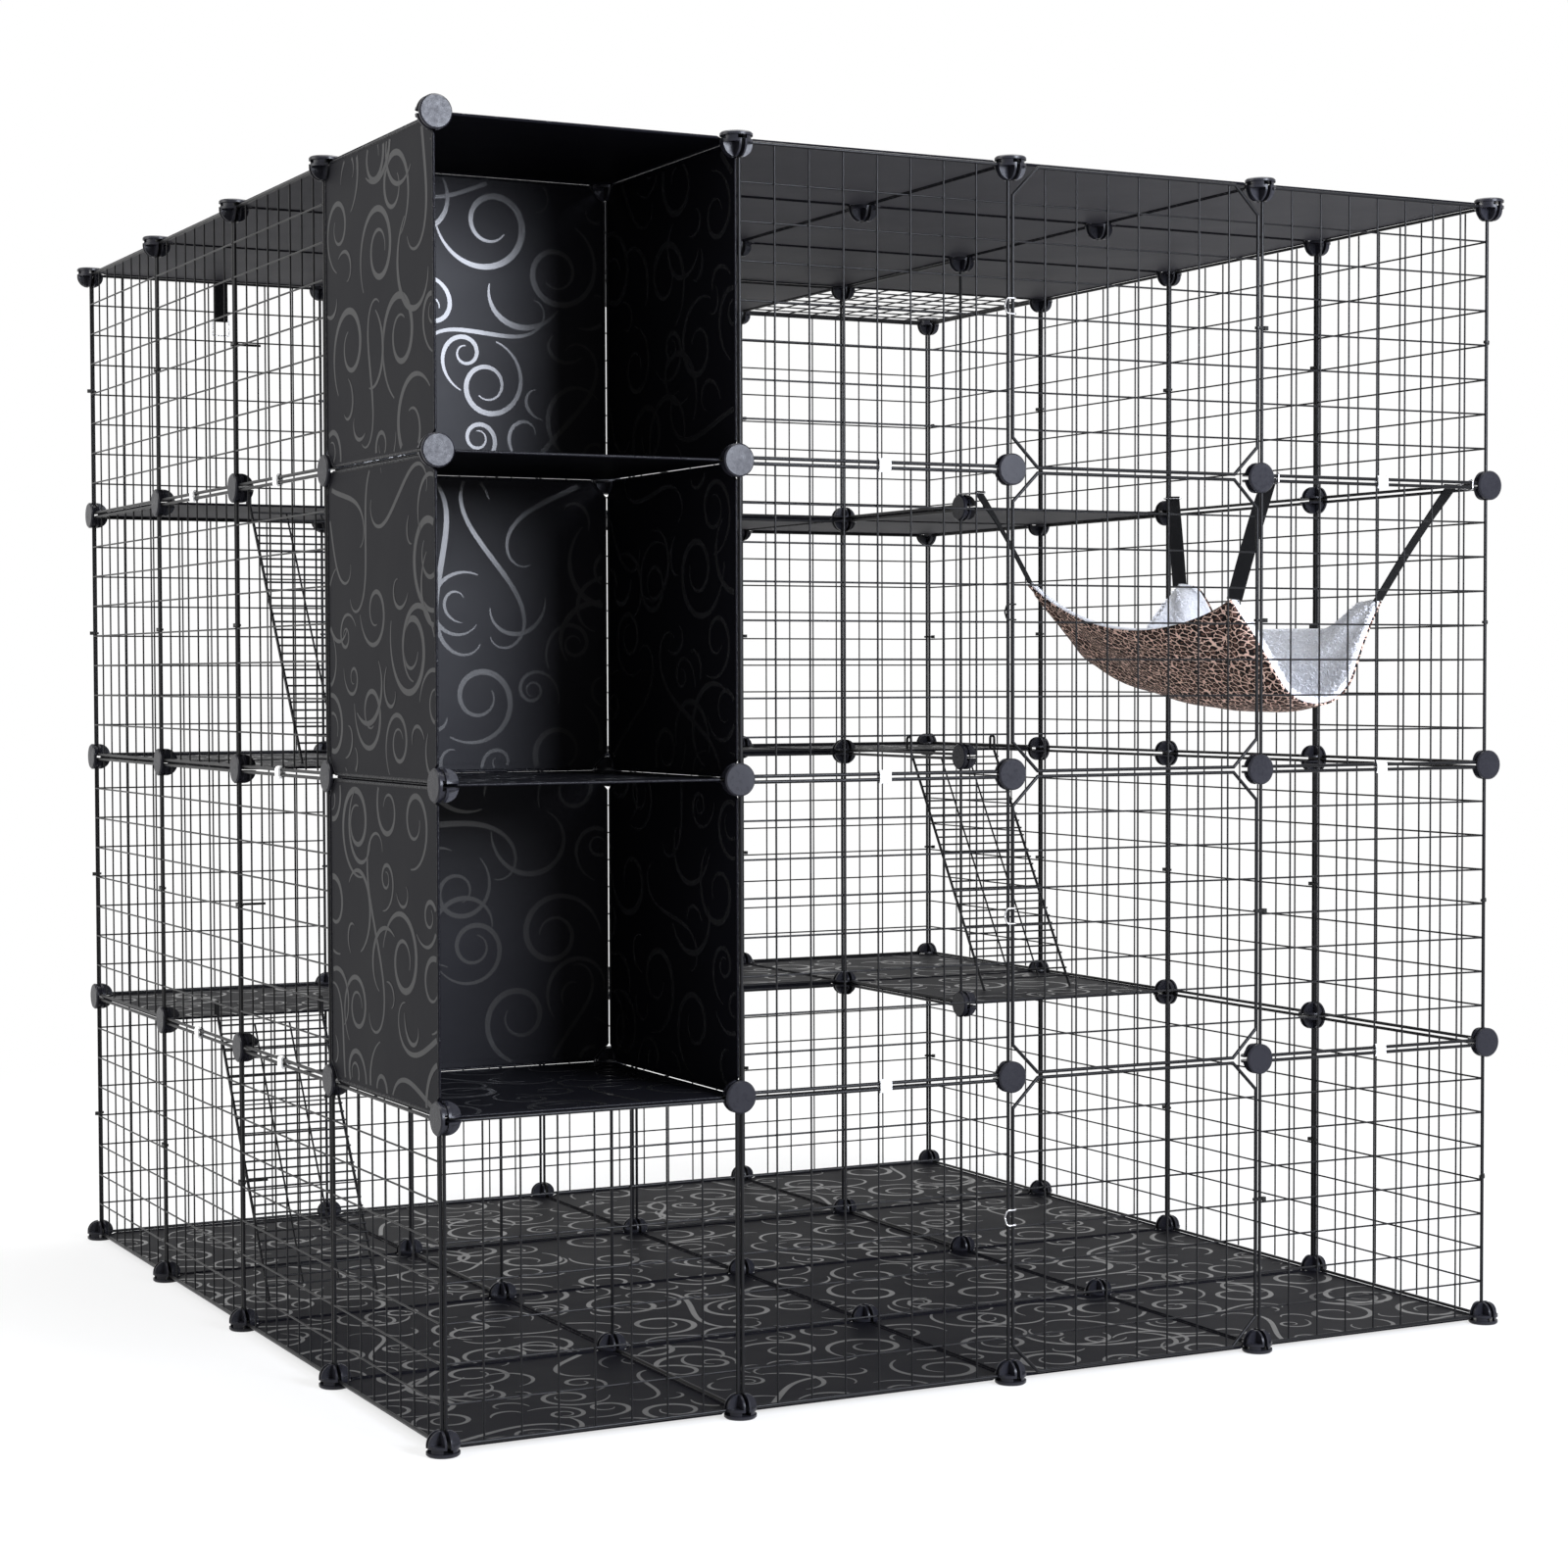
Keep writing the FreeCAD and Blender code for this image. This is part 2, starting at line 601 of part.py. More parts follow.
# Cable ties round neighbouring upright wires, and white clips round neighbouring level wires
TIE_TURN = Rotation(Vector(0, 0, 1), 90)
CLIP_FRONT = Rotation(Vector(0, 1, 0), 90)
CLIP_SIDE = Rotation(Vector(0, 1, 0), 90).multiply(Rotation(Vector(1, 0, 0), 90))
side_tie_lines = (2, 3)
TAILED_TIES = ((2, 0), (2, 1), (2, 3))   # lines and storeys of the left wall's ties that keep their tails
CORNER_TIES = ((CELLS, 0, 45), (CELLS, CELLS, -45), (0, CELLS, -135))   # grid lines and turn of a tie
tie_lift = (size("tie_head") + size("mesh_wire")) / 2 + 2 * fit_gap
clip_shift = (size("clip_length") + size("mesh_wire")) / 2 + 2 * fit_gap


def tie_place(i, j, k, turn):
    """Place of a tie just above the mesh wire at half height of storey k."""
    return Placement(grid(i, j, k + 0.5) + Vector(0, 0, tie_lift), turn)


def corner_tie_place(i, j, k, degrees):
    """Place of a tie round the two wires that meet at a corner of the cage."""
    inward = Vector(CELLS / 2 - i, CELLS / 2 - j, 0).normalize()
    turn = Rotation(Vector(0, 0, 1), degrees)
    between = Placement(inward * (inset / math.sqrt(2)), LYING)
    return between.multiply(tie_place(i, j, k, turn))


hinge_ties = [tie_place(DOOR_COLUMN + 1, 0, k, LYING) for k in TIERS]
panel_ties = [tie_place(i, CELLS, k, LYING) for i in LINES[1:-1] for k in TIERS]
panel_ties += [tie_place(0, j, k, TIE_TURN) for j in side_tie_lines for k in TIERS
               if (j, k) not in TAILED_TIES]
panel_ties += [tie_place(CELLS, j, k, TIE_TURN) for j in LINES[1:-1] for k in TIERS]
panel_ties += [corner_tie_place(i, j, k, turn) for i, j, turn in CORNER_TIES for k in TIERS]
tailed_ties = [tie_place(0, j, k, TIE_TURN) for j, k in TAILED_TIES]
add_node("hinge_ties", copies(cable_tie, hinge_ties))
add_node("panel_ties", copies(cable_tie, panel_ties) + copies(tailed_tie, tailed_ties))

clip_places = [Placement(grid(i + 0.5, 0, k) + Vector(clip_shift, 0, 0), CLIP_FRONT)
               for i in (DOOR_COLUMN - 1, DOOR_COLUMN + 1) for k in MIDDLE_LEVELS]
clip_places += [Placement(grid(0, j + 0.5, k) + Vector(0, clip_shift, 0), CLIP_SIDE)
                for j in TIERS if j > 0 for k in MIDDLE_LEVELS if (0, j) not in shelf_cells[k]]
add_node("panel_clips", copies(panel_clip, clip_places))

# Doors, one for each storey, each hinged on its right-hand wire

def make_latch():
    """A wire latch: two eyes round the door's wire and a pointed bail over the neighbour's wire.

    Its own Z axis is the door's wire; the neighbour's wire lies at x = -2 * inset. The arms pass in
    front of both wires, and the point of the bail hooks round the far side of the neighbour's wire.
    """
    radius = size("latch_wire") / 2
    loop = wire_radius + fit_gap + radius
    arm = size("latch_height") / 2
    reach = 2 * inset + loop
    upper = [
        Vector(0, loop, arm),
        Vector(loop, loop, arm),
        Vector(loop, -loop, arm),
        Vector(-reach, -loop, arm),
    ]
    tip = Vector(-reach, size("latch_hook"), 0)
    lower = [Vector(p.x, p.y, -p.z) for p in reversed(upper)]
    return bent_wire(upper + [tip] + lower, loop * EASE, radius)


latch = make_latch()
latch_lift = (size("latch_height") + size("latch_wire") + size("mesh_wire")) / 2 + 2 * fit_gap
for k in TIERS:
    door = f"door_{k + 1}"
    place = front_panel(DOOR_COLUMN, 0, k)
    add_node(f"{door}_frame", copies(door_frame, [place]))
    add_node(f"{door}_mesh", copies(mesh_rod, mesh_places(place)))
    door_wire = grid(DOOR_COLUMN, 0, k + 0.5) + Vector(inset, 0, latch_lift)
    add_node(f"{door}_latch", copies(latch, [Placement(door_wire, LYING)]))


# Ladders: rails with hooks over the shelf's front rim, and rungs across them

def ladder_line():
    """Top and foot of a rail's slope, in the YZ plane, from the shelf rim's centre."""
    radius = size("rail_wire") / 2
    top = Vector(0, -size("hook_front"), -radius)
    run = size("ladder_run")
    clearance = size("sheet_thick") / 2 + fit_gap + radius * run / math.hypot(run, pitch)
    foot = Vector(0, -run, -pitch + clearance)
    return top, foot


def make_rail():
    """One rail, bent at its top into a hook over the rim of a shelf."""
    top, foot = ladder_line()
    back = size("hook_back")
    tip = size("sheet_thick") / 2 + size("tip_gap")
    rise = size("hook_rise")
    points = [Vector(0, back, tip), Vector(0, back, rise), Vector(0, top.y, rise), top, foot]
    return bent_wire(points, size("hook_bend"), size("rail_wire") / 2)


rail = make_rail()
rung = make_rod("rung_rod", "sizes.rung_wire", "sizes.ladder_width + sizes.rail_wire")


def ladder_rungs():
    """Rungs on top of the rails, and two inner rails under the rungs, for one ladder."""
    top, foot = ladder_line()
    slope = (foot - top).normalize()
    outward = Vector(0, slope.z, -slope.y)
    rung_radius = size("rung_wire") / 2
    lift = size("rail_wire") / 2 + rung_radius + size("weld_gap")
    span = (foot - top).Length
    across = Rotation(Vector(0, 1, 0), 90)
    start = size("rung_pitch")
    count = int((span - 2 * start) / size("rung_pitch")) + 1
    side = -(size("ladder_width") + size("rail_wire")) / 2
    places = []
    for step in range(count):
        centre = top + slope * (start + step * size("rung_pitch")) + outward * lift
        places.append(Placement(centre + Vector(side, 0, 0), across))
    solids = copies(rung, places)
    first = top + slope * start
    run = (count - 1) * size("rung_pitch")
    sink = lift - 2 * rung_radius - size("weld_gap")
    for share in (-1, 1):
        base = first + outward * sink + Vector(share * size("ladder_width") / 6, 0, 0)
        solids.append(Part.makeCylinder(rung_radius, run, base, slope))
    return solids


left_wall = grid(0, 0, 0).x
right_wall = grid(CELLS, 0, 0).x
for label, level, x in (
    ("upper_ladder", 3, left_wall + size("upper_ladder_x")),
    ("middle_ladder", 2, right_wall - size("middle_ladder_x")),
    ("lower_ladder", 1, left_wall + size("lower_ladder_x")),
):
    rim = Vector(x, grid(0, shelf_row, 0).y + inset, grid(0, 0, level).z)
    spread = Vector(size("ladder_width") / 2, 0, 0)
    add_node(f"{label}_rails", copies(rail, [Placement(rim - spread, LYING),
                                             Placement(rim + spread, LYING)]))
    rungs = [solid.translated(rim) for solid in ladder_rungs()]
    add_node(f"{label}_rungs", rungs)


# Hammock: a sling below the upper shelf, in the front right corner

upper_level = grid(0, 0, 3).z
hammock_left = right_wall - size("hammock_side_gap") - size("hammock_width")
hammock_front = grid(0, 0, 0).y + size("hammock_front_gap")
STATIONS = ((0.0, "front"), (0.5, "middle"), (1.0, "rear"))


def sling_curve(drop, sag, deeper, y):
    """Points of one cross line: top, start of the bottom arc, its lowest point, and so on."""
    radius = size("hammock_bottom") + deeper
    half_width = size("hammock_width") / 2 + deeper
    centre = Vector(hammock_left + size("hammock_width") / 2, y, 0)
    top = upper_level - drop
    axis = top - sag + size("hammock_bottom")
    to_edge = Vector(half_width, 0, top - axis)
    lean = math.atan2(to_edge.z, to_edge.x) - math.acos(radius / to_edge.Length)
    touch = Vector(radius * math.cos(lean), 0, axis + radius * math.sin(lean))
    right_edge = centre + Vector(half_width, 0, top)
    left_edge = centre + Vector(-half_width, 0, top)
    return (left_edge, centre + Vector(-touch.x, 0, touch.z), centre + Vector(0, 0, axis - radius),
            centre + touch, right_edge)


def sling_section(share, name, inner, outer):
    """Closed cross line of one layer, between two depths below the hammock's inner face."""
    y = hammock_front + share * size("hammock_length")
    drop = size(f"{name}_drop")
    sag = size(f"{name}_sag")
    a = sling_curve(drop, sag, inner, y)
    b = sling_curve(drop, sag, outer, y)
    edges = [
        Part.LineSegment(a[0], a[1]), Part.Arc(a[1], a[2], a[3]), Part.LineSegment(a[3], a[4]),
        Part.LineSegment(a[4], b[4]),
        Part.LineSegment(b[4], b[3]), Part.Arc(b[3], b[2], b[1]), Part.LineSegment(b[1], b[0]),
        Part.LineSegment(b[0], a[0]),
    ]
    return Part.Wire([edge.toShape() for edge in edges])


def make_sling(inner, outer):
    """One layer of the hammock, lofted from its front edge to its rear edge."""
    sections = [sling_section(share, name, inner, outer) for share, name in STATIONS]
    return Part.makeLoft(sections, True, False)


lining_depth = size("lining_thick")
cover_start = lining_depth + fit_gap
add_node("hammock_lining", [make_sling(0, lining_depth)])
add_node("hammock_cover", [make_sling(cover_start, cover_start + size("cover_thick"))])


# Snap hooks on the wires of the upper level, and the webbing between them and the hammock

hook_radius = size("hook_wire") / 2
loop_gap = wire_radius + fit_gap + hook_radius


def make_hook(behind, ahead, lift, bar):
    """A twisted ring of wire: round what it holds, then out to a level bar for the webbing.

    The two ends of the wire meet behind what the hook holds.
    """
    end = lift * (fit_gap / lift.Length)
    points = [behind + end, behind + lift, ahead + bar, ahead - bar, behind - lift, behind - end]
    return bent_wire(points, loop_gap * EASE, hook_radius)


def make_strap(start, end, across):
    """A flat strap from an eye round a hook's bar to a corner of the hammock, its width level."""
    run = end - start
    along = Vector(run)
    along.normalize()
    width = size("strap_width")
    thick = size("strap_thick")
    turn = Rotation(across, across.cross(along), along, "ZXY")
    box = Part.makeBox(width, thick, run.Length, Vector(-width / 2, -thick / 2, 0))
    box.Placement = Placement(start, turn)
    bore = hook_radius + fit_gap
    eye = Part.makeCylinder(bore + thick, width, start - across * (width / 2), across)
    hole = Part.makeCylinder(bore, 2 * width, start - across * width, across)
    return box.fuse(eye).cut(hole).removeSplitter()


def hammock_corner(share, name, side):
    """Top edge of the hammock at one of its ends, side 0 left and 1 right."""
    y = hammock_front + share * size("hammock_length")
    depth = cover_start / 2
    edge = sling_curve(size(f"{name}_drop"), size(f"{name}_sag"), depth, y)[4 * side]
    return edge + Vector(0, 0, size("strap_thick") / 2 + fit_gap)


offset = size("hook_offset")
front_y = grid(0, 0, 0).y
wing_x = grid(CELLS - 1, 0, 0).x
wing_y = grid(0, shelf_row - 1, 0).y
post_height = size("connector_dia") / 2 + fit_gap + hook_radius
pair_lift = Vector(0, 0, inset + loop_gap + hook_radius)
bar_half = size("strap_width") / 2 + 2 * size("hook_wire")
hooks = []
straps = []
for held, level_pair, corner in (
    (Vector(wing_x + offset, front_y, 0), True, hammock_corner(0, "front", 0)),
    (Vector(right_wall - offset, front_y, 0), True, hammock_corner(0, "front", 1)),
    (Vector(wing_x, wing_y + inset, post_height), False, hammock_corner(1, "rear", 0)),
    (Vector(right_wall, wing_y - inset, post_height), False, hammock_corner(1, "rear", 1)),
):
    held.z += upper_level
    inward = Vector(corner.x - held.x, corner.y - held.y, 0).normalize()
    across = inward.cross(Vector(0, 0, 1))
    lift = pair_lift if level_pair else across * loop_gap
    back = loop_gap / inward.y if level_pair else loop_gap
    bar_middle = held + inward * size("hook_reach")
    hooks.append(make_hook(held - inward * back, bar_middle, lift, across * bar_half))
    straps.append(make_strap(bar_middle, corner, across))
add_node("hammock_hooks", hooks)
add_node("hammock_straps", straps)

# A short loop of webbing over the upper wire of the back wall, with a ring in its lower bend

def loop_bar(radius, width, top, drop):
    """A bar along X with two round edges, one at top and one at drop below it."""
    across = Vector(width, 0, 0)
    start = top - across / 2
    low = start - Vector(0, 0, drop)
    ends = [Part.makeCylinder(radius, width, place, across) for place in (start, low)]
    middle = Part.makeBox(width, 2 * radius, drop, low - Vector(0, radius, 0))
    return middle.multiFuse(ends).removeSplitter()


held_wire = Vector(left_wall + size("hanging_loop_x"), grid(0, CELLS, 0).y, grid(0, 0, CELLS).z - inset)
loop_bore = wire_radius + fit_gap
loop_drop = size("hanging_loop_drop")
loop_outside = loop_bar(loop_bore + size("hanging_loop_thick"), size("strap_width"), held_wire, loop_drop)
loop_inside = loop_bar(loop_bore, 2 * size("strap_width"), held_wire, loop_drop)
roof_rim = held_wire + Vector(-size("strap_width"), -inset, inset)
rim_relief = Part.makeCylinder(rim_radius + fit_gap, 2 * size("strap_width"), roof_rim, Vector(1, 0, 0))
add_node("hanging_strap", [loop_outside.cut(loop_inside).cut(rim_relief)])

ring_top = held_wire - Vector(0, 0, loop_drop + loop_bore - hook_radius - fit_gap)
ring_side = Vector(size("strap_width") / 2 + size("hook_wire") + hook_radius, 0, 0)
ring_end = ring_top - Vector(0, 0, size("hanging_ring_height"))
ring = wire_loop([ring_top, ring_top + ring_side, ring_end + ring_side, ring_end - ring_side,
                  ring_top - ring_side], size("hook_wire"), hook_radius)
add_node("hanging_ring", [ring])

doc.recompute()
for item in doc.Objects:
    if "Invalid" in item.State or "Error" in item.State:
        raise RuntimeError(f"{item.Label} is {item.State}")
os.makedirs("parts", exist_ok=True)
for feature in subparts:
    shape = feature.Shape
    if shape.isNull() or not shape.isValid():
        raise RuntimeError(f"{feature.Label} has no valid shape")
    shape.exportStep(f"parts/{feature.Label}.step")
    print(feature.Label, len(shape.Solids), "solids", round(shape.Volume / 1000, 2), "cm3")
print(len(subparts), "sub-parts")
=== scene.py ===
# %% [markdown]
# # A modular cat cage
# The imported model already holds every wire, panel, connector, door and ladder at its real place. This
# lesson dresses it: painted wire, printed resin sheets, moulded connectors, a plush hammock on
# webbing straps, a white studio and the camera that took the picture.

# %% Load the frame
import math
import random

import bmesh
import bpy
from mathutils import Matrix, Vector, noise


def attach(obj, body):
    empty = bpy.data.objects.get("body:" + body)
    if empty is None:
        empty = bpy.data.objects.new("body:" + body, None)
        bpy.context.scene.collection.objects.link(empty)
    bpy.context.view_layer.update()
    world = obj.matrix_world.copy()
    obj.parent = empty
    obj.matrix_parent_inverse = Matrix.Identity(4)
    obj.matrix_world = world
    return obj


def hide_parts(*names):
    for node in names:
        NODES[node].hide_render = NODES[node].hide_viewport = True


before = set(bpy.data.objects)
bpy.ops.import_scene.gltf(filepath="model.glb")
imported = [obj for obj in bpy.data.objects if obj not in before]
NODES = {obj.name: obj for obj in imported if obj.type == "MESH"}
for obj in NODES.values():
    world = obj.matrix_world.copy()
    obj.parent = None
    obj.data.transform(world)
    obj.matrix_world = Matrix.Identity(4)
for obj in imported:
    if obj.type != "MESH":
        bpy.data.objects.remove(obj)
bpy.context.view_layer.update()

# %% [markdown]
# The cage is a grid of equal cells, so most places can be named by three grid numbers: i to the
# right, j to the back and k up. The same few measures place the print, the hammock and its straps.

# %% Measures of the grid
PITCH = 0.354            # distance between neighbouring grid planes
FLOOR_LEVEL = 0.0065     # height of the lowest grid plane
CELLS = 4
INSET = 0.0032           # distance from a grid plane to the rim of a panel
X, Y, Z = Vector((1, 0, 0)), Vector((0, 1, 0)), Vector((0, 0, 1))


def grid(i, j, k):
    """A point of the grid."""
    middle = CELLS / 2
    return Vector(((i - middle) * PITCH, (j - middle) * PITCH, FLOOR_LEVEL + k * PITCH))


print("front left foot", grid(0, 0, 0), "back right top", grid(CELLS, CELLS, CELLS))

# %% [markdown]
# A material is a net of nodes. Long chains of Math nodes are hard to read, so a small class wraps a
# socket and lets Python's own arithmetic add the nodes: 1 - mask is then a line of code.

# %% Shader arithmetic
class Shade:
    """A socket that arithmetic can be done on; each operation adds a Math node."""

    def __init__(self, net, socket):
        self.net = net
        self.socket = socket

    def math(self, operation, *others, clamp=False):
        settings = {"operation": operation, "use_clamp": clamp}
        return self.net.node("Math", settings, 0, dict(enumerate((self, *others))))

    def __add__(self, other):
        return self.math("ADD", other)

    __radd__ = __add__

    def __sub__(self, other):
        return self.math("SUBTRACT", other)

    def __rsub__(self, other):
        return (self * -1) + other

    def __mul__(self, other):
        return self.math("MULTIPLY", other)

    __rmul__ = __mul__

    def __gt__(self, other):
        return self.math("GREATER_THAN", other)

    def __lt__(self, other):
        return self.math("LESS_THAN", other)

    def __abs__(self):
        return self.math("ABSOLUTE")

    def fraction(self):
        return self.math("FRACT")

    def root(self):
        return self.math("SQRT")

    def least(self, other):
        return self.math("MINIMUM", other)

    def most(self, other):
        return self.math("MAXIMUM", other)

    def clamped(self):
        return self.math("ADD", 0.0, clamp=True)


print("arithmetic on sockets ready")

# %% [markdown]
# Materials and the world are both node trees, so what they share comes first: one method that adds a
# node of any kind, and a mix of two shaders for what looks white but must not light the cage.

# %% A net of nodes
class Net:
    """The node tree of a material or of the world."""

    def __init__(self, tree):
        self.tree = tree

    def feed(self, socket, value):
        """Link a Shade to a socket, or set the socket's own value."""
        if isinstance(value, Shade):
            self.tree.links.new(value.socket, socket)
        else:
            socket.default_value = value

    def node(self, kind, settings, output, inputs=None):
        """Add a node of any kind; its settings come first, then the values or links of its sockets."""
        node = self.tree.nodes.new(f"ShaderNode{kind}")
        for name, value in settings.items():
            setattr(node, name, value)
        for socket, value in (inputs or {}).items():
            self.feed(node.inputs[socket], value)
        return Shade(self, node.outputs[output])

    def seen(self):
        """1 for what the camera sees, also in gloss and through glass."""
        camera, gloss, glass = [self.node("LightPath", {}, f"Is {ray} Ray")
                                for ray in ("Camera", "Glossy", "Transmission")]
        return camera.most(gloss).most(glass)

    def shaders(self, factor, first, second):
        """A mix of two shaders that goes to the output."""
        mixed = self.node("MixShader", {}, 0, {0: factor, 1: first, 2: second})
        output = next(node for node in self.tree.nodes if node.bl_idname.startswith("ShaderNodeOutput"))
        self.feed(output.inputs["Surface"], mixed)


print("nets of nodes ready")

# %% [markdown]
# A finish is a material with one surface shader. What is even all over is set on the shader's own
# socket; what changes over the surface, such as clouds of gloss or a fine grain, is linked to it.

# %% A finish
class Finish(Net):
    """A material under construction: its node tree and its one surface shader."""

    def __init__(self, name, colour, roughness, metallic=0.0, specular=0.5):
        self.material = bpy.data.materials.new(name)
        self.material.use_nodes = True
        self.material.diffuse_color = (*colour, 1)
        super().__init__(self.material.node_tree)
        self.shader = self.tree.nodes["Principled BSDF"]
        self.surface("Base Color", (*colour, 1))
        self.surface("Roughness", roughness)
        self.surface("Metallic", metallic)
        self.surface("Specular IOR Level", specular)

    def surface(self, socket, value):
        """Link or set a socket of the surface shader."""
        self.feed(self.shader.inputs[socket], value)

    def place(self):
        """Object coordinates, as a vector."""
        return self.node("TexCoord", {}, "Object")

    def cloth_place(self):
        """Coordinates of the piece's own UV map, as a vector."""
        return self.node("TexCoord", {}, "UV")

    def parts(self, vector):
        """The three numbers of a vector."""
        first = self.node("SeparateXYZ", {}, 0, {0: vector})
        return [Shade(self, output) for output in first.socket.node.outputs]

    def vector(self, x, y, z):
        """A vector from three numbers."""
        return self.node("CombineXYZ", {}, 0, {"X": x, "Y": y, "Z": z})

    def between(self, factor, first, second):
        """A colour between two colours."""
        sockets = {0: factor}
        for place, colour in ((6, first), (7, second)):
            sockets[place] = colour if isinstance(colour, Shade) else (*colour, 1)
        return self.node("Mix", {"data_type": "RGBA"}, 2, sockets)

    def noise(self, scale, detail=3.0):
        """Soft random values about 0.5."""
        return self.node("TexNoise", {}, 0, {"Vector": self.place(), "Scale": scale, "Detail": detail})

    def colour(self, value):
        self.surface("Base Color", value)

    def rough(self, value):
        self.surface("Roughness", value)

    def sheen(self, weight, roughness):
        """The soft glow of short fibres."""
        self.surface("Sheen Weight", weight)
        self.surface("Sheen Roughness", roughness)

    def bump(self, height, depth, strength=1.0):
        """Raise the surface by height times depth, in metres."""
        sockets = {"Height": height, "Distance": depth, "Strength": strength}
        self.surface("Normal", self.node("Bump", {}, 0, sockets))


print("finishes ready")

# %% [markdown]
# The solids came with the frame and have their shapes already, so a finish is all that they need. It
# goes into the material slot of each solid, and one finish may serve many. Most finishes wander from
# one colour to a paler or darker one, so a helper makes the second colour from the first.

# %% Dressing the solids
def scaled(colour, factor):
    """A colour made lighter or darker."""
    return tuple(factor * part for part in colour)


def dress(finish, *names):
    """Give solids of the frame a finish."""
    for name in names:
        mesh = NODES[name].data
        mesh.materials.clear()
        mesh.materials.append(finish.material)


print(len(NODES), "sub-parts to dress or to replace")

# %% [markdown]
# All wire is steel with a thin black powder coat. Real powder coat is never one even black: it has
# an orange-peel skin, and it is a little duller in some stretches than in others. Noise at two scales
# gives both, so the wire itself stays as the solids have it.

# %% Painted wire
WIRE_ROUGH = 0.24


def painted_wire(name, colour):
    """Black powder coat with a fine skin and cloudy gloss."""
    finish = Finish(name, colour, WIRE_ROUGH, specular=0.16)
    cloud = finish.noise(9.0)
    finish.colour(finish.between(cloud, colour, scaled(colour, 2.2)))
    finish.rough(WIRE_ROUGH + 0.2 * cloud)
    finish.bump(finish.noise(900.0, 2.0), 0.0001, 0.5)
    return finish


WALLS = ("front", "left", "right", "back", "roof_vent")
INNER_WALLS = ("left_wing", "back_left", "back_right", "right_wing")
LADDERS = ("upper", "middle", "lower")
wire_paint = painted_wire("wire_powder_coat", (0.0035, 0.0035, 0.004))
dress(wire_paint, *[f"{wall}_{piece}" for wall in WALLS for piece in ("frames", "mesh")])
dress(wire_paint, *[f"{wall}_frames" for wall in INNER_WALLS], "cabinet_support_frame")
dress(wire_paint, *[f"door_{n}_{piece}" for n in range(1, CELLS + 1) for piece in ("frame", "mesh")])
ladder_paint = painted_wire("ladder_powder_coat", (0.004, 0.004, 0.0045))
dress(ladder_paint, *[f"{ladder}_ladder_{piece}" for ladder in LADDERS for piece in ("rails", "rungs")])
print("painted wire on", len(WALLS) + len(INNER_WALLS), "walls, the doors and", len(LADDERS), "ladders")

# %% [markdown]
# The resin panels are dark film sealed round a wire. A row of short weld dashes runs beside the rim,
# and the film is tight and crumpled where it wraps the wire. The distance to the nearest rim repeats
# with the grid, so the fraction of a coordinate over the pitch finds it on every panel at once. As
# shapes the dashes would be thousands of faces, so they are drawn in the material.

# %% Rims and welds of the film
WELD_INSET = 0.012       # distance of the weld line from the grid plane
WELD_HALF = 0.0009       # half the width of the weld line
DASH = 0.0075            # length of a weld dash and its gap
GAP_SHARE = 0.45         # how much of that is gap
DASHES_BEFORE = 100      # whole dashes that keep the count positive on the left of the middle
RIM_REACH = 0.0052       # the wrapped rim ends here


def edge_distance(coordinate):
    """Distance to the nearest grid plane along one coordinate."""
    share = (coordinate * (1 / PITCH) + 0.5 * CELLS).fraction()
    return share.least(1 - share) * PITCH


def weld_dashes(across_edge, along_edge, along):
    """Dashes beside the rims that run along one direction."""
    line = abs(across_edge - WELD_INSET) < WELD_HALF
    dash = (along * (1 / DASH) + DASHES_BEFORE).fraction() > GAP_SHARE
    return line * dash * (along_edge > WELD_INSET)


def underside(z):
    """1 on the lower face of a level panel, which lies just below a grid plane."""
    return ((z - FLOOR_LEVEL) * (1 / PITCH) + 0.5).fraction() < 0.5


print(round(PITCH / DASH), "weld dashes along a panel")

# %% [markdown]
# One function makes the film for panels that lie level, stand sideways or face the front. The floor,
# roof and shelves have dull rims and a plain underside whose paler colour is painted light from below,
# except at the rims and in the roof over the cabinet; the cabinet's film is pulled tighter round its
# wire, so its rims shine, and its back is the glossiest.

# %% Resin film
FILM = (0.0026, 0.0026, 0.0042)
# the paler colour of the undersides stands in for light from below: painted light
LIT_UNDERSIDE = (0.041, 0.040, 0.046)
LEVEL_ROUGH, CABINET_ROUGH, BACK_ROUGH = 0.50, 0.54, 0.38
DULL_RIM, GLOSSY_RIM, GLINT_ROUGH = 0.75, 0.33, 0.2
LEVEL_SPECULAR, CABINET_SPECULAR = 0.06, 0.11
WELD_HEIGHT = 0.00022


def resin_film(name, plane, film_rough, rim_rough, specular=CABINET_SPECULAR, lit_underside=None):
    """Dark film with a duller or glossier rim; the last argument is an optional paler colour for the
    underside, painted light from below.
    """
    finish = Finish(name, FILM, film_rough, specular=specular)
    x, y, z = finish.parts(finish.place())
    upright = z - FLOOR_LEVEL - 0.5 * CELLS * PITCH
    across, along = {"level": (x, y), "side": (y, upright), "front": (x, upright)}[plane]
    across_edge = edge_distance(across)
    along_edge = edge_distance(along)
    welds = weld_dashes(across_edge, along_edge, along)
    welds = welds.most(weld_dashes(along_edge, across_edge, across))
    rim = across_edge.least(along_edge) < RIM_REACH
    cloud = finish.noise(7.0)
    tone = finish.between(cloud, FILM, scaled(FILM, 1.6))
    # painted light from below: undersides get the paler colour, but neither their rims nor the roof over
    # the cabinet
    if lit_underside is not None:
        cabinet = (x < -PITCH) * (y < -PITCH)      # the roof over the cabinet is dark on both sides
        tone = finish.between(underside(z) * (1 - cabinet) * (1 - rim), tone, lit_underside)
    finish.colour(tone)
    crumple = finish.noise(190.0, 4.0)
    glint = rim * ((crumple - 0.58) * 12).clamped()
    flat_rough = film_rough + 0.13 * cloud
    finish.rough((1 - rim) * flat_rough + rim * rim_rough - glint * (rim_rough - GLINT_ROUGH))
    fine = finish.noise(2200.0, 2.0)
    finish.bump(welds + rim * crumple * 6.0 + fine * 0.12 + cloud * 5.0, WELD_HEIGHT)
    return finish


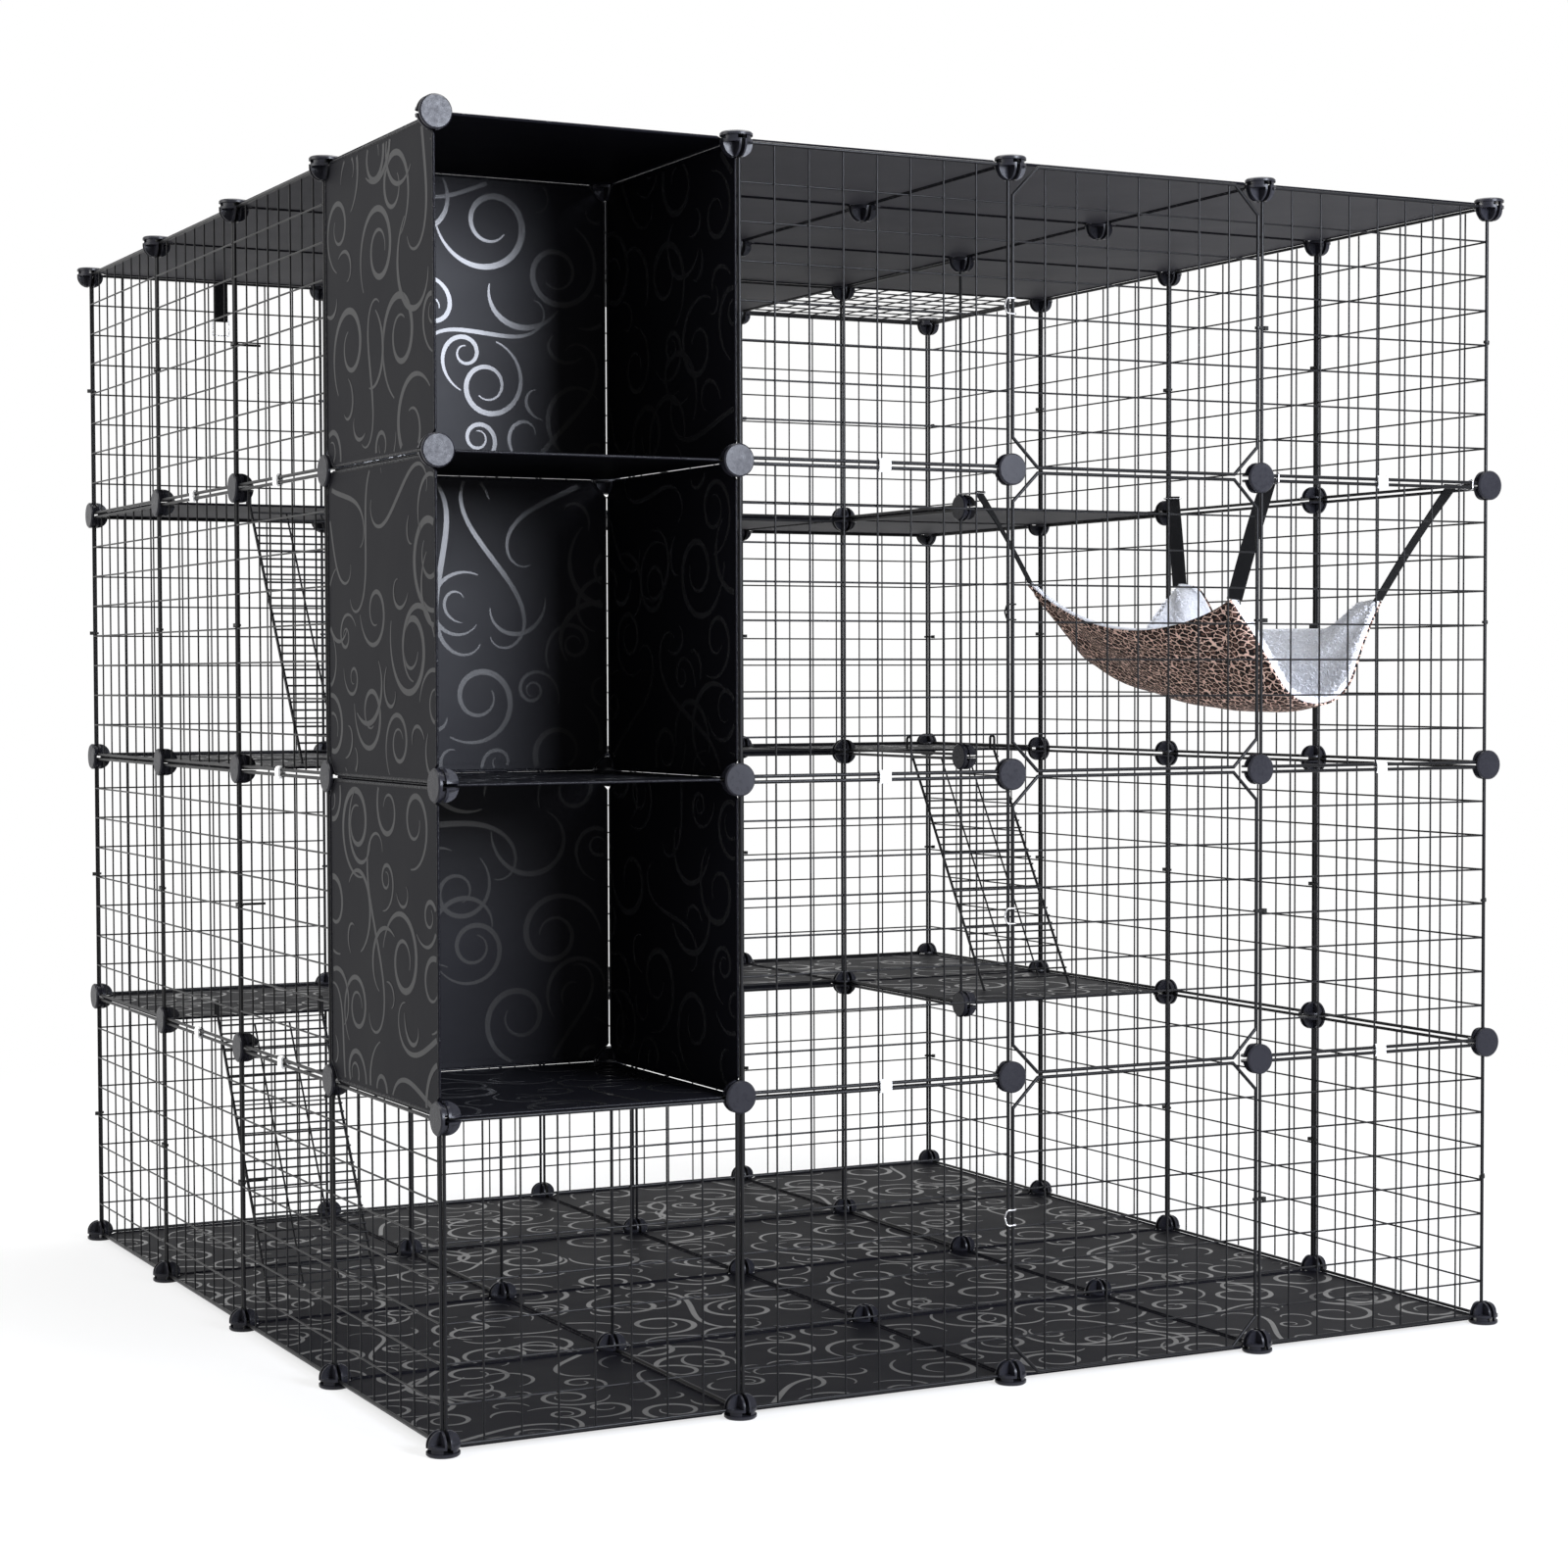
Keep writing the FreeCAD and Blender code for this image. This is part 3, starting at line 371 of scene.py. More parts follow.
level_film = resin_film("level_film", "level", LEVEL_ROUGH, DULL_RIM, LEVEL_SPECULAR, LIT_UNDERSIDE)
dress(level_film, "floor_panels", "roof_panels", "lower_shelf", "middle_shelf", "upper_shelf")
dress(resin_film("cabinet_shelf_film", "level", CABINET_ROUGH, GLOSSY_RIM), "cabinet_shelves")
dress(resin_film("cabinet_side_film", "side", CABINET_ROUGH, GLOSSY_RIM), "cabinet_left_panels",
      "cabinet_right_panels")
dress(resin_film("cabinet_back_film", "front", BACK_ROUGH, GLOSSY_RIM), "cabinet_back_panels")
print("film on the floor, shelves, roof and cabinet")

# %% [markdown]
# The film carries a print of silvery curls. A pen that turns faster and faster draws a curl, so each
# stroke is a walk in small steps whose curvature grows along the way: one sign gives a snail, a change
# of sign in the middle gives an S. The stroke is thin at both ends and swells between them.
# A picture could carry the print too, but strokes drawn in code stay sharp from near.

# %% A walk with growing curvature
random.seed(11)
STEP = 0.0032            # length of one step of the pen
STROKES = (              # kind, strokes tried on a panel, shortest and longest, width, tightest radius
    ("snail", 7, (0.24, 0.34), 0.0072, 0.0185),
    ("ess", 4, (0.24, 0.36), 0.0066, 0.0170),
    ("coil", 5, (0.15, 0.22), 0.0056, 0.0095),
    ("arc", 5, (0.12, 0.20), 0.0066, 0.0330),
    ("comma", 7, (0.05, 0.09), 0.0048, 0.0120),
)
SLACK = {"snail": 0.32, "coil": 0.2, "arc": 0.6, "comma": 0.35}   # first curvature over the last


def bend_at(kind, share, tight):
    """Curvature of a stroke at a share of its length."""
    if kind == "ess":
        swing = 2 * share - 1
        return swing * abs(swing) ** 0.8 / tight
    slack = SLACK[kind]
    return (slack + (1 - slack) * share ** 1.8) / tight


def stroke(kind, length, width, tight):
    """Points of a stroke about its own middle, each with the pen's heading and width there."""
    count = round(length / STEP)
    heading = random.uniform(0, 2 * math.pi)
    hand = random.choice((-1, 1))
    point = Vector((0, 0))
    rows = []
    for number in range(count + 1):
        share = number / count
        swell = math.sin(math.pi * (0.07 + 0.87 * share)) ** 0.9
        rows.append((point.copy(), heading, width * swell))
        heading += hand * bend_at(kind, share, tight) * STEP
        point += Vector((math.cos(heading), math.sin(heading))) * STEP
    middle = sum((row[0] for row in rows), Vector((0, 0))) / len(rows)
    return [(place - middle, heading, width) for place, heading, width in rows]


print(len(STROKES), "kinds of stroke")

# %% [markdown]
# Printed curls keep clear of each other, apart from a few plain arcs. Each panel therefore has a map
# of small squares that are already taken: the large strokes choose their places first, and a stroke
# that finds no room after some tries is dropped. The print ends at the rim and round the connectors.

# %% Room on the film
PLACES_TRIED = 30        # a stroke that finds no room at so many places is dropped
CROSSING = "arc"         # this kind may cross other strokes
SIZES = (0.75, 1.15)     # strokes vary in size between these
SQUARE = 0.004           # the map of taken film has squares of this size
NEAR = (-1, 0, 1)        # a stroke also takes the squares beside its own
FILM_HALF = PITCH / 2 - 0.006   # half the side of the printed square
CORNER_CLEAR = 0.025     # the print ends before the connectors


def on_film(point):
    """Whether a point of a panel lies on bare film."""
    corner = math.hypot(PITCH / 2 - abs(point.x), PITCH / 2 - abs(point.y))
    return max(abs(point.x), abs(point.y)) < FILM_HALF and corner > CORNER_CLEAR


def covered(rows, place):
    """Squares of the map under a stroke."""
    return {(round((place.x + point.x) / SQUARE), round((place.y + point.y) / SQUARE))
            for point, _, _ in rows}


def scattered():
    """Strokes of one panel, large ones first, each at a place where it keeps clear of the others."""
    taken = set()
    laid = []
    for kind, count, lengths, width, tight in STROKES:
        for _ in range(count):
            size = random.uniform(*SIZES)
            rows = stroke(kind, random.uniform(*lengths) * size, width * size, tight * size)
            for _ in range(PLACES_TRIED):
                right = random.uniform(-FILM_HALF, FILM_HALF)
                up = random.uniform(-FILM_HALF, FILM_HALF)
                place = Vector((right, up))
                under = covered(rows, place)
                if kind == CROSSING or under.isdisjoint(taken):
                    taken |= {(a + m, b + n) for a, b in under for m in NEAR for n in NEAR}
                    laid.append((place, rows))
                    break
    return laid


print("print within", round(2 * FILM_HALF, 3), "m of each panel")

# %% [markdown]
# New pieces need the same few steps again and again: nothing else selected, a modifier applied, mesh
# work turned into an object, and a finish, a slot and a body for what is done.

# %% Tools for new pieces
def deselect():
    """Nothing stays selected, so the next operator acts on its own piece only."""
    bpy.ops.object.select_all(action="DESELECT")


def pick(piece):
    """Select one piece alone and make it active."""
    deselect()
    bpy.context.view_layer.objects.active = piece
    piece.select_set(True)


def apply_modifier(piece, kind, **settings):
    """Add a modifier, set it and apply it."""
    pick(piece)
    modifier = piece.modifiers.new(kind.title(), kind)
    for name, value in settings.items():
        setattr(modifier, name, value)
    bpy.ops.object.modifier_apply(modifier=modifier.name)


def piece_from(name, work):
    """A new object from finished mesh work."""
    mesh = bpy.data.meshes.new(name)
    work.to_mesh(mesh)
    work.free()
    piece = bpy.data.objects.new(name, mesh)
    bpy.context.collection.objects.link(piece)
    return piece


def hand_over(piece, finish):
    """Give a new piece its finish and its slot; all new pieces ride on the cage."""
    piece.data.materials.clear()
    piece.data.materials.append(finish.material)
    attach(piece, "cage")


print("tools for new pieces ready")

# %% [markdown]
# Ink is a thin coat on the film. No operator walks like a pen, so a stroke is a strip of faces laid
# a hair above the film by code, cut off where the film ends, and Solidify thickens it down into the
# film, which makes it a closed form. Each stroke lies a little higher than the one it may cross.

# %% Strokes on a panel
FILM_TOP = 0.0004        # from the middle of the film to its face
INK_LIFT = 0.00004       # from the film to the first stroke
INK_STEP = 0.00001       # each stroke lies this much higher than the one before it
INK_THICK = 0.00034      # down into the film


def print_panel(work, centre, right, up):
    """Lay strokes on one panel, on the face that right and up turn to."""
    normal = right.cross(up)
    for number, (place, rows) in enumerate(scattered()):
        level = centre + normal * (FILM_TOP + INK_LIFT + number * INK_STEP)
        before = None
        for point, heading, wide in rows:
            side = Vector((-math.sin(heading), math.cos(heading))) * (wide / 2)
            ends = (place + point + side, place + point - side)
            if not all(on_film(end) for end in ends):
                before = None
                continue
            pair = [work.verts.new(level + right * end.x + up * end.y) for end in ends]
            if before:
                work.faces.new((before[0], before[1], pair[1], pair[0]))
            before = pair


def print_piece(name, ink, panels):
    """One piece with the print of several panels."""
    work = bmesh.new()
    for centre, right, up in panels:
        print_panel(work, centre, right, up)
    loose = [vertex for vertex in work.verts if not vertex.link_faces]
    bmesh.ops.delete(work, geom=loose, context="VERTS")
    piece = piece_from(name, work)
    apply_modifier(piece, "SOLIDIFY", thickness=INK_THICK, offset=-1)
    hand_over(piece, ink)
    print(name, len(piece.data.polygons), "faces")


print("ink", INK_THICK, "m thick")

# %% [markdown]
# The ink looks silver where it mirrors a lamp and dark elsewhere. A true metal would be too bright, so
# it is a dark surface with more gloss than the film. Its gloss is cloudy, and the cabinet's ink is
# scuffed and duller on the outer left side.

# %% Silvery ink
def silver_ink(name, roughness, specular, scuffed=0.0):
    """Dark pearly ink: glossier than the film, uneven, and scuffed on the outer left side."""
    finish = Finish(name, (0.018, 0.018, 0.019), roughness, specular=specular)
    gloss = roughness + 0.12 * finish.noise(16.0)
    if scuffed:
        x, _, _ = finish.parts(finish.place())
        outside = x < grid(0, 0, 0).x + RIM_REACH
        gloss = gloss + outside * scuffed
    finish.rough(gloss)
    finish.colour(finish.between(finish.noise(700.0), (0.014, 0.014, 0.015), (0.022, 0.022, 0.023)))
    return finish


level_ink = silver_ink("silver_ink", 0.24, 0.45)
cabinet_ink = silver_ink("cabinet_ink", 0.18, 0.30, scuffed=0.24)
print("two inks mixed")

# %% [markdown]
# The print is on the upper faces of the floor, shelves and roof, outside on the cabinet's left panels
# and inside on its right and back panels. The roof's back right cell is the wire vent, and each shelf
# is the row along the back wall with one more panel in front, by turns at the right and left end.

# %% The printed panels
TIERS = range(CELLS)
BACK = CELLS - 1
back_row = [(i, BACK) for i in TIERS]
wing_cells = {1: (BACK, BACK - 1), 2: (0, BACK - 1), 3: (BACK, BACK - 1)}
floor_cells = [(i, j) for i in TIERS for j in TIERS]
roof_cells = [cell for cell in floor_cells if cell != (BACK, BACK)]


def level_panel(i, j, k):
    """Middle and directions of a level panel's upper face."""
    return grid(i + 0.5, j + 0.5, k), X, Y


floor_faces = [level_panel(i, j, 0) for i, j in floor_cells]
roof_faces = [level_panel(i, j, CELLS) for i, j in roof_cells]
shelf_faces = [level_panel(i, j, k) for k, wing_cell in wing_cells.items()
               for i, j in (*back_row, wing_cell)]
cabinet_faces = [level_panel(0, 0, k) for k in TIERS[1:]]
for k in TIERS[1:]:
    cabinet_faces.append((grid(0, 0.5, k + 0.5), -Y, Z))
    cabinet_faces.append((grid(1, 0.5, k + 0.5), -Y, Z))
    cabinet_faces.append((grid(0.5, 1, k + 0.5), X, Z))
print_piece("floor_print", level_ink, floor_faces)
print_piece("roof_print", level_ink, roof_faces)
print_piece("shelf_print", level_ink, shelf_faces)
print_piece("cabinet_print", cabinet_ink, cabinet_faces)

# %% [markdown]
# The connectors are moulded in black plastic with a speckled and mottled skin. The cable ties are
# smoother nylon, the clips white plastic, and the latches and hooks bright zinc wire. The solids have
# their shapes already, so only their finishes are made here.

# %% Plastics and small metal
def moulded_plastic(name, colour, roughness, grain):
    """Moulded plastic with a speckled and mottled skin."""
    finish = Finish(name, colour, roughness, specular=0.18)
    speckle = finish.noise(grain, 4.0)
    cloud = finish.noise(22.0)
    mottle = finish.noise(230.0, 5.0) - 0.5
    finish.colour(finish.between(cloud, colour, scaled(colour, 1.7)))
    finish.rough(roughness - 0.08 + 0.16 * cloud + 0.30 * mottle)
    finish.bump(speckle, 0.00012, 0.6)
    return finish


def zinc_wire(name, colour, roughness):
    """Drawn wire with a bright coat and fine scratches."""
    finish = Finish(name, colour, roughness, metallic=1.0)
    scratch = finish.noise(1500.0, 2.0)
    finish.rough(roughness + 0.2 * (scratch - 0.5))
    finish.colour(finish.between(finish.noise(60.0), colour, scaled(colour, 0.8)))
    finish.bump(scratch, 0.00004, 0.5)
    return finish


CONNECTOR_SIDES = ("foot", "roof", "front", "left", "right", "back", "inner")
connector_plastic = moulded_plastic("connector_plastic", (0.009, 0.009, 0.012), 0.31, 1400.0)
dress(connector_plastic, *[f"{side}_connectors" for side in CONNECTOR_SIDES])
tie_nylon = moulded_plastic("tie_nylon", (0.006, 0.006, 0.006), 0.35, 2600.0)
dress(tie_nylon, "hinge_ties", "panel_ties")
clip_plastic = moulded_plastic("clip_plastic", (0.82, 0.82, 0.81), 0.3, 1800.0)
dress(clip_plastic, "panel_clips")
bright_zinc = zinc_wire("bright_zinc", (0.72, 0.72, 0.74), 0.25)
dress(bright_zinc, "door_1_latch", "door_2_latch", "door_4_latch", "hammock_hooks", "hanging_ring")
black_latch = painted_wire("latch_coat", (0.004, 0.004, 0.004))
dress(black_latch, "door_3_latch")
print("connectors, ties, clips and latches dressed")

# %% [markdown]
# The hammock is a cloth sling: a leopard print outside, white plush inside. It hangs from its four
# corners, so its side edges sag between the straps and its ends dip, and the right edge stands up in a
# flap at each corner. A cloth simulation could find some such form, but the picture shows this one, so
# the edges are smooth curves through a few measured heights.

# %% Edges of the sling
EDGE_DROPS = (0.144, 0.180, 0.112)   # front, middle and rear, below the upper level
FLAP_TOP, FLAP_END = 0.06, 0.25      # the flaps of the right edge, as shares of its length


def eased(values, share):
    """A smooth value through three values at 0, one half and 1."""
    first, middle, last = values
    return (first * (1 - share) * (1 - 2 * share) + middle * 4 * share * (1 - share)
            + last * share * (2 * share - 1))


def step_up(value):
    """A smooth step from 0 to 1."""
    value = min(max(value, 0.0), 1.0)
    return value * value * (3 - 2 * value)


def edge_drop(side, share):
    """How far an edge hangs below the upper level: the right edge stands up in a flap at each corner."""
    if side <= 0:
        return eased(EDGE_DROPS, share)
    front, middle, rear = EDGE_DROPS
    near_front = step_up((FLAP_END - share) / (FLAP_END - FLAP_TOP))
    near_rear = step_up((FLAP_END - (1 - share)) / (FLAP_END - FLAP_TOP))
    return middle + (front - middle) * near_front + (rear - middle) * near_rear


print("the edges hang", EDGE_DROPS, "m below the upper level")

# %% [markdown]
# Cloth that is held at its corners is never smooth: loose waves cross it, and pulled folds fan out from
# each corner and die away. Noise gives the waves, and a sine of the angle about the corner gives the
# fan. Both are added to the depth of the cloth, so the cover and the lining fold together.

# %% Folds of the cloth
SLING_LENGTH = 0.450
HALF_CLOTH = 0.19        # from the middle of the cloth to a side edge
FOLD_DEPTH = 0.0035
WAVES_ACROSS, WAVES_ALONG = 2.2, 5.0
WAVE_SLICE = 3.0         # where the noise is cut
FAN_REACH = 0.06         # the pulled folds are deepest so far from a corner
FAN_FOLDS = 7


def fold(side, share):
    """Depth of the soft folds: loose waves everywhere and pulled ones that fan out from the corners."""
    wave = FOLD_DEPTH * noise.noise(Vector((WAVES_ACROSS * side, WAVES_ALONG * share, WAVE_SLICE)))
    across = (1 - abs(side)) * HALF_CLOTH
    along = min(share, 1 - share) * SLING_LENGTH
    reach = math.hypot(across, along) / FAN_REACH
    swing = math.sin(FAN_FOLDS * math.atan2(across, along + 0.001))
    return wave + FOLD_DEPTH * reach * math.exp(1 - reach) * swing


print("fold in the middle", round(fold(0, 0.5), 5), "m")

# %% [markdown]
# A slice across the sling is an arc at the bottom with a straight run up to each edge, as cloth under
# little load hangs. A place on the slice is found by walking along it from the middle to an edge, so
# the lines of the grid stay evenly spaced along the cloth.

# %% A slice of the sling
UPPER_LEVEL = grid(0, 0, 3).z
SLING_RIGHT = grid(CELLS, 0, 0).x - 0.057   # its right edge, from the right wall
SLING_FRONT = grid(0, 0, 0).y + 0.152       # its front edge, from the front wall
SLING_WIDTH = 0.236
SLING_BOTTOM = 0.062                        # radius of the arc
EDGE_SAGS = (0.126, 0.091, 0.108)           # depth of the sling at its front, middle and rear
BOTTOM_SHIFTS = (0.022, 0.008, 0.0)         # how far its lowest line lies to the right of its middle
LEFT_INSETS = (0.015, 0.0, -0.008)          # how far the left edge is drawn in


def sling_point(side, share, depth):
    """A point of the sling: side from -1 to 1 across, share from 0 to 1 along, depth outward."""
    top = UPPER_LEVEL - edge_drop(side, share)
    axis = UPPER_LEVEL - eased(EDGE_DROPS, share) - eased(EDGE_SAGS, share) + SLING_BOTTOM
    hand = math.copysign(1, side)
    shift = eased(BOTTOM_SHIFTS, share)
    depth += fold(side, share)
    radius = SLING_BOTTOM + depth
    half = SLING_WIDTH / 2 + depth - hand * shift
    if side < 0:
        half -= eased(LEFT_INSETS, share)
    rise = top - axis
    reach = math.hypot(half, rise)
    lean = math.atan2(rise, half) - math.acos(radius / reach)
    arc = radius * (math.pi / 2 + lean)
    straight = math.sqrt(reach * reach - radius * radius)
    travel = abs(side) * (arc + straight)
    if travel < arc:
        angle = travel / radius
        x, z = radius * math.sin(angle), axis - radius * math.cos(angle)
    else:
        x = radius * math.cos(lean) - (travel - arc) * math.sin(lean)
        z = axis + radius * math.sin(lean) + (travel - arc) * math.cos(lean)
    middle = SLING_RIGHT - SLING_WIDTH / 2 + shift
    return Vector((middle + hand * x, SLING_FRONT + share * SLING_LENGTH, z))


print("front corner", sling_point(-1, 0, 0), "front bottom", sling_point(0, 0, 0))

# %% [markdown]
# The cover and the lining are two layers of that sling. A flat grid is added for each, its points are
# laid on the sling, and Solidify gives it its thickness. The grid's own UV map stays that of the flat
# cloth, which the leopard print follows later, and the flat size is measured along the grid's lines.

# %% Cover and lining of the hammock
SIDE_COUNT, LONG_COUNT = 49, 65
COVER_DEPTH, COVER_THICK = 0.0103, 0.0024          # outer face of a layer, and its thickness inward
LINING_DEPTH, LINING_THICK = 0.0068, 0.0062


def path_length(points):
    """Length of a line through points."""
    return sum((second - first).length for first, second in zip(points, points[1:]))


def flat_size(mesh):
    """The longest lines across and along a sheet that has no thickness yet, and its area."""
    row = SIDE_COUNT + 1
    places = [vertex.co for vertex in mesh.vertices]
    across = max(path_length(places[start:start + row]) for start in range(0, len(places), row))
    along = max(path_length(places[column::row]) for column in range(row))
    return across, along, sum(face.area for face in mesh.polygons)


def sling_sheet(name, depth, thick):
    """A layer of cloth laid on the sling, with its flat size across and along and its flat area."""
    deselect()
    bpy.ops.mesh.primitive_grid_add(x_subdivisions=SIDE_COUNT, y_subdivisions=LONG_COUNT, size=2)
    piece = bpy.context.object
    piece.name = name
    for vertex in piece.data.vertices:
        vertex.co = sling_point(vertex.co.x, (vertex.co.y + 1) / 2, depth)
    size = flat_size(piece.data)
    apply_modifier(piece, "SOLIDIFY", thickness=thick, offset=1)
    pick(piece)
    bpy.ops.object.shade_smooth()
    return piece, size


cover, cover_size = sling_sheet("hammock_print_cover", COVER_DEPTH, COVER_THICK)
cover_across, cover_along, cover_area = cover_size
lining, _ = sling_sheet("hammock_plush_lining", LINING_DEPTH, LINING_THICK)
print("cover", round(cover_across, 3), "x", round(cover_along, 3), "m, area", round(cover_area, 3))

# %% [markdown]
# Plush has a pile: short tufts stand on the cloth and spill over its edges, and they make the soft
# outline that a smooth sheet lacks. Hair strands could do that, but only meshes are exported, so one
# tuft is a closed spike with three sides and few faces, because it is repeated thousands of times.

# %% One tuft of plush
TUFT_LENGTHS = (0.0025, 0.0055)
TUFT_RADIUS = 0.0018
TUFT_LEAN = 0.3
THIRDS = [Matrix.Rotation(n * math.tau / 3, 3, "Z") @ Vector((TUFT_RADIUS, 0, 0)) for n in range(3)]


def lean():
    """A small random turn of a tuft."""
    return Vector([random.gauss(0, TUFT_LEAN) for _ in range(3)])


def tuft(work, root, direction):
    """A closed spike from a root in a direction."""
    turn = direction.to_track_quat("Z", "X")
    ring = [work.verts.new(root + turn @ corner) for corner in THIRDS]
    tip = work.verts.new(root + turn @ Vector((0, 0, random.uniform(*TUFT_LENGTHS))))
    work.faces.new(ring[::-1])
    for n in range(3):
        work.faces.new((ring[n], ring[(n + 1) % 3], tip))


print("tufts from", TUFT_LENGTHS[0], "to", TUFT_LENGTHS[1], "m long")

# %% [markdown]
# Tufts stand all over the inner face, where they point to the inside of the sling, and along the four
# edges, where they lean outwards and hide the cut of the cloth. Each leans a little its own way. They
# are made as one mesh and joined to the lining, so that the padded piece stays one object.

# %% Pile of the lining
PILE_TUFTS, EDGE_TUFTS = 11000, 4200
PILE_DEPTH, PILE_END = 0.0012, 0.005     # edge tufts are rooted between these, the others at the first
OUT_SHARE, IN_SHARE = 0.8, 0.6           # directions of the edge tufts
NEAR_EDGE = 0.97                         # a line just inside a side edge


def inward(side, share):
    """Direction from the sling to its inside."""
    return (sling_point(side, share, 0) - sling_point(side, share, 0.002)).normalized()


work = bmesh.new()
for _ in range(PILE_TUFTS):
    side, share = random.uniform(-1, 1), random.uniform(0, 1)
    tuft(work, sling_point(side, share, PILE_DEPTH), inward(side, share) + lean())
for number in range(EDGE_TUFTS):
    walk, end = random.uniform(-1, 1), random.choice((-1, 1))
    depth = random.uniform(PILE_DEPTH, PILE_END)
    if number % 2:
        side, share = walk, (end + 1) / 2
        outward = Vector((0, end, 0))
    else:
        side, share = end, (walk + 1) / 2
        beside = sling_point(NEAR_EDGE * end, share, depth)
        outward = (sling_point(end, share, depth) - beside).normalized()
    root = sling_point(side, share, depth) - outward * TUFT_RADIUS
    tuft(work, root, OUT_SHARE * outward + IN_SHARE * inward(side, share) + lean())
pile = piece_from("pile", work)
pick(lining)
pile.select_set(True)
bpy.ops.object.join()
print("lining with its pile", len(lining.data.polygons), "faces")

# %% [markdown]
# Leopard print is a net of thin tan lines between dark spots with brown hearts. Voronoi cells give
# just that: the distance to a cell's edge makes the lines, and the distance to its middle the hearts.
# The print follows the flat cloth through its UV map, so it runs round the bottom of the sling evenly.

# %% Leopard cloth
SPOTS_ACROSS, SPOTS_ALONG = 110, 80      # spots in a metre of cloth
LINE_HALF = 0.05                         # half the width of a tan line, as a share of a cell
HEART = 0.25                             # radius of a brown heart


def leopard_cloth():
    """Tan cloth with dark spots that are brown in the middle, longer along the cloth than across it."""
    finish = Finish("leopard_cloth", (0.55, 0.36, 0.27), 0.85, specular=0.2)
    u, v, _ = finish.parts(finish.cloth_place())
    wobble = (finish.noise(170.0, 2.0) - 0.5) * 0.9
    across = u * (cover_across * SPOTS_ACROSS) + wobble
    along = v * (cover_along * SPOTS_ALONG) - wobble
    sockets = {"Vector": finish.vector(across, along, 0), "Scale": 1.0}
    edge, middle = [finish.node("TexVoronoi", {"voronoi_dimensions": "2D", "feature": kind}, 0, sockets)
                    for kind in ("DISTANCE_TO_EDGE", "F1")]
    spot = ((edge - LINE_HALF) * 24).clamped() * ((0.76 - middle) * 12).clamped()
    heart = ((HEART - middle) * 9).clamped()
    tan = finish.between(finish.noise(40.0), (0.84, 0.60, 0.50), (0.68, 0.46, 0.37))
    dark = finish.between(heart, (0.006, 0.004, 0.004), (0.12, 0.062, 0.047))
    finish.colour(finish.between(spot, tan, dark))
    finish.bump(finish.noise(1600.0, 3.0), 0.0006, 0.7)
    return finish


hand_over(cover, leopard_cloth())
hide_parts("hammock_cover")
print("cover dressed")

# %% [markdown]
# Plush is white with soft lumps, and its fibres catch light at a flat angle. Its colour follows the
# bump's lumps, darker and bluer in their hollows as painted shade, with a random cloud mixed in, and
# the shader's sheen gives the soft glow.

# %% White plush
def plush():
    """White pile: soft, bright and lumpy."""
    finish = Finish("white_plush", (0.80, 0.81, 0.85), 0.95)
    lumps_and_shade = finish.noise(260.0, 5.0)
    cloud = finish.noise(30.0)
    # painted shade: the colour is darker and bluer where the lumps are low, mixed with a random cloud
    finish.colour(finish.between(lumps_and_shade * 0.6 + cloud * 0.4, (0.84, 0.86, 0.92), (0.95, 0.95, 0.97)))
    finish.bump(lumps_and_shade, 0.004, 0.8)
    finish.sheen(0.6, 0.5)
    return finish


hand_over(lining, plush())
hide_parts("hammock_lining")
print("lining dressed")

# %% [markdown]
# The straps are flat black webbing. Its weave is a chevron of fine ribs with a firmer band at each
# edge. It is too fine to model, so the material draws it on a UV map that counts metres, and it stays
# even on a strap of any length and turn.

# %% Webbing
STRAP_WIDTH = 0.020
RIBS = 620               # ribs in a metre


def webbing():
    """Woven black webbing with slanting ribs."""
    finish = Finish("black_webbing", (0.006, 0.006, 0.006), 0.85, specular=0.12)
    u, v, _ = finish.parts(finish.cloth_place())
    rib = abs((v * RIBS + abs(u - STRAP_WIDTH / 2) * RIBS).fraction() - 0.5) * 2
    edge = abs(u - STRAP_WIDTH / 2) > 0.42 * STRAP_WIDTH
    finish.colour(finish.between(rib, (0.003, 0.003, 0.003), (0.009, 0.009, 0.010)))
    finish.bump(rib + edge * 0.6, 0.0004, 0.8)
    return finish


webbing_finish = webbing()
print("webbing with", RIBS, "ribs in a metre")

# %% [markdown]
# A ribbon is a row of cross lines along a path. A curve with a flat bevel could make one too, but with
# a grid each cross line is set directly. The grid's UV map is stretched to metres for the weave, and
# modifiers give the ribbon its thickness and its rounded edges.

# %% A ribbon along a path
WEB_FACES = 4            # faces across a ribbon


def ribbon(name, path, acrosses, thick, node):
    """Webbing along a path of points, each with the direction of its cross line, in place of a node."""
    deselect()
    rows = len(path) - 1
    bpy.ops.mesh.primitive_grid_add(x_subdivisions=WEB_FACES, y_subdivisions=rows, size=2)
    piece = bpy.context.object
    piece.name = name
    for vertex in piece.data.vertices:
        row = round((vertex.co.y + 1) / 2 * rows)
        vertex.co = path[row] + acrosses[row] * (vertex.co.x / 2 * STRAP_WIDTH)
    length = path_length(path)
    for corner in piece.data.uv_layers.active.data:
        corner.uv = (corner.uv[0] * STRAP_WIDTH, corner.uv[1] * length)
    apply_modifier(piece, "SOLIDIFY", thickness=thick, offset=0)
    apply_modifier(piece, "BEVEL", width=thick / 5, segments=2)
    hand_over(piece, webbing_finish)
    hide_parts(node)


print("ribbons", STRAP_WIDTH, "m wide")

# %% [markdown]
# Each strap is folded round the bar of its hook, turns a little on its way down and is sewn to a
# corner of the hammock. Its path is therefore a half circle round the bar and then a run with a small
# sag, and its cross lines turn about that run.

# %% Path of a strap
EYE_RADIUS = 0.0021      # of the half circle round the bar
BEND_STEPS, STRAP_STEPS = 12, 24
STRAP_SAG = 0.0025
TWIST_DONE = 0.4         # the strap has turned after this share of its length


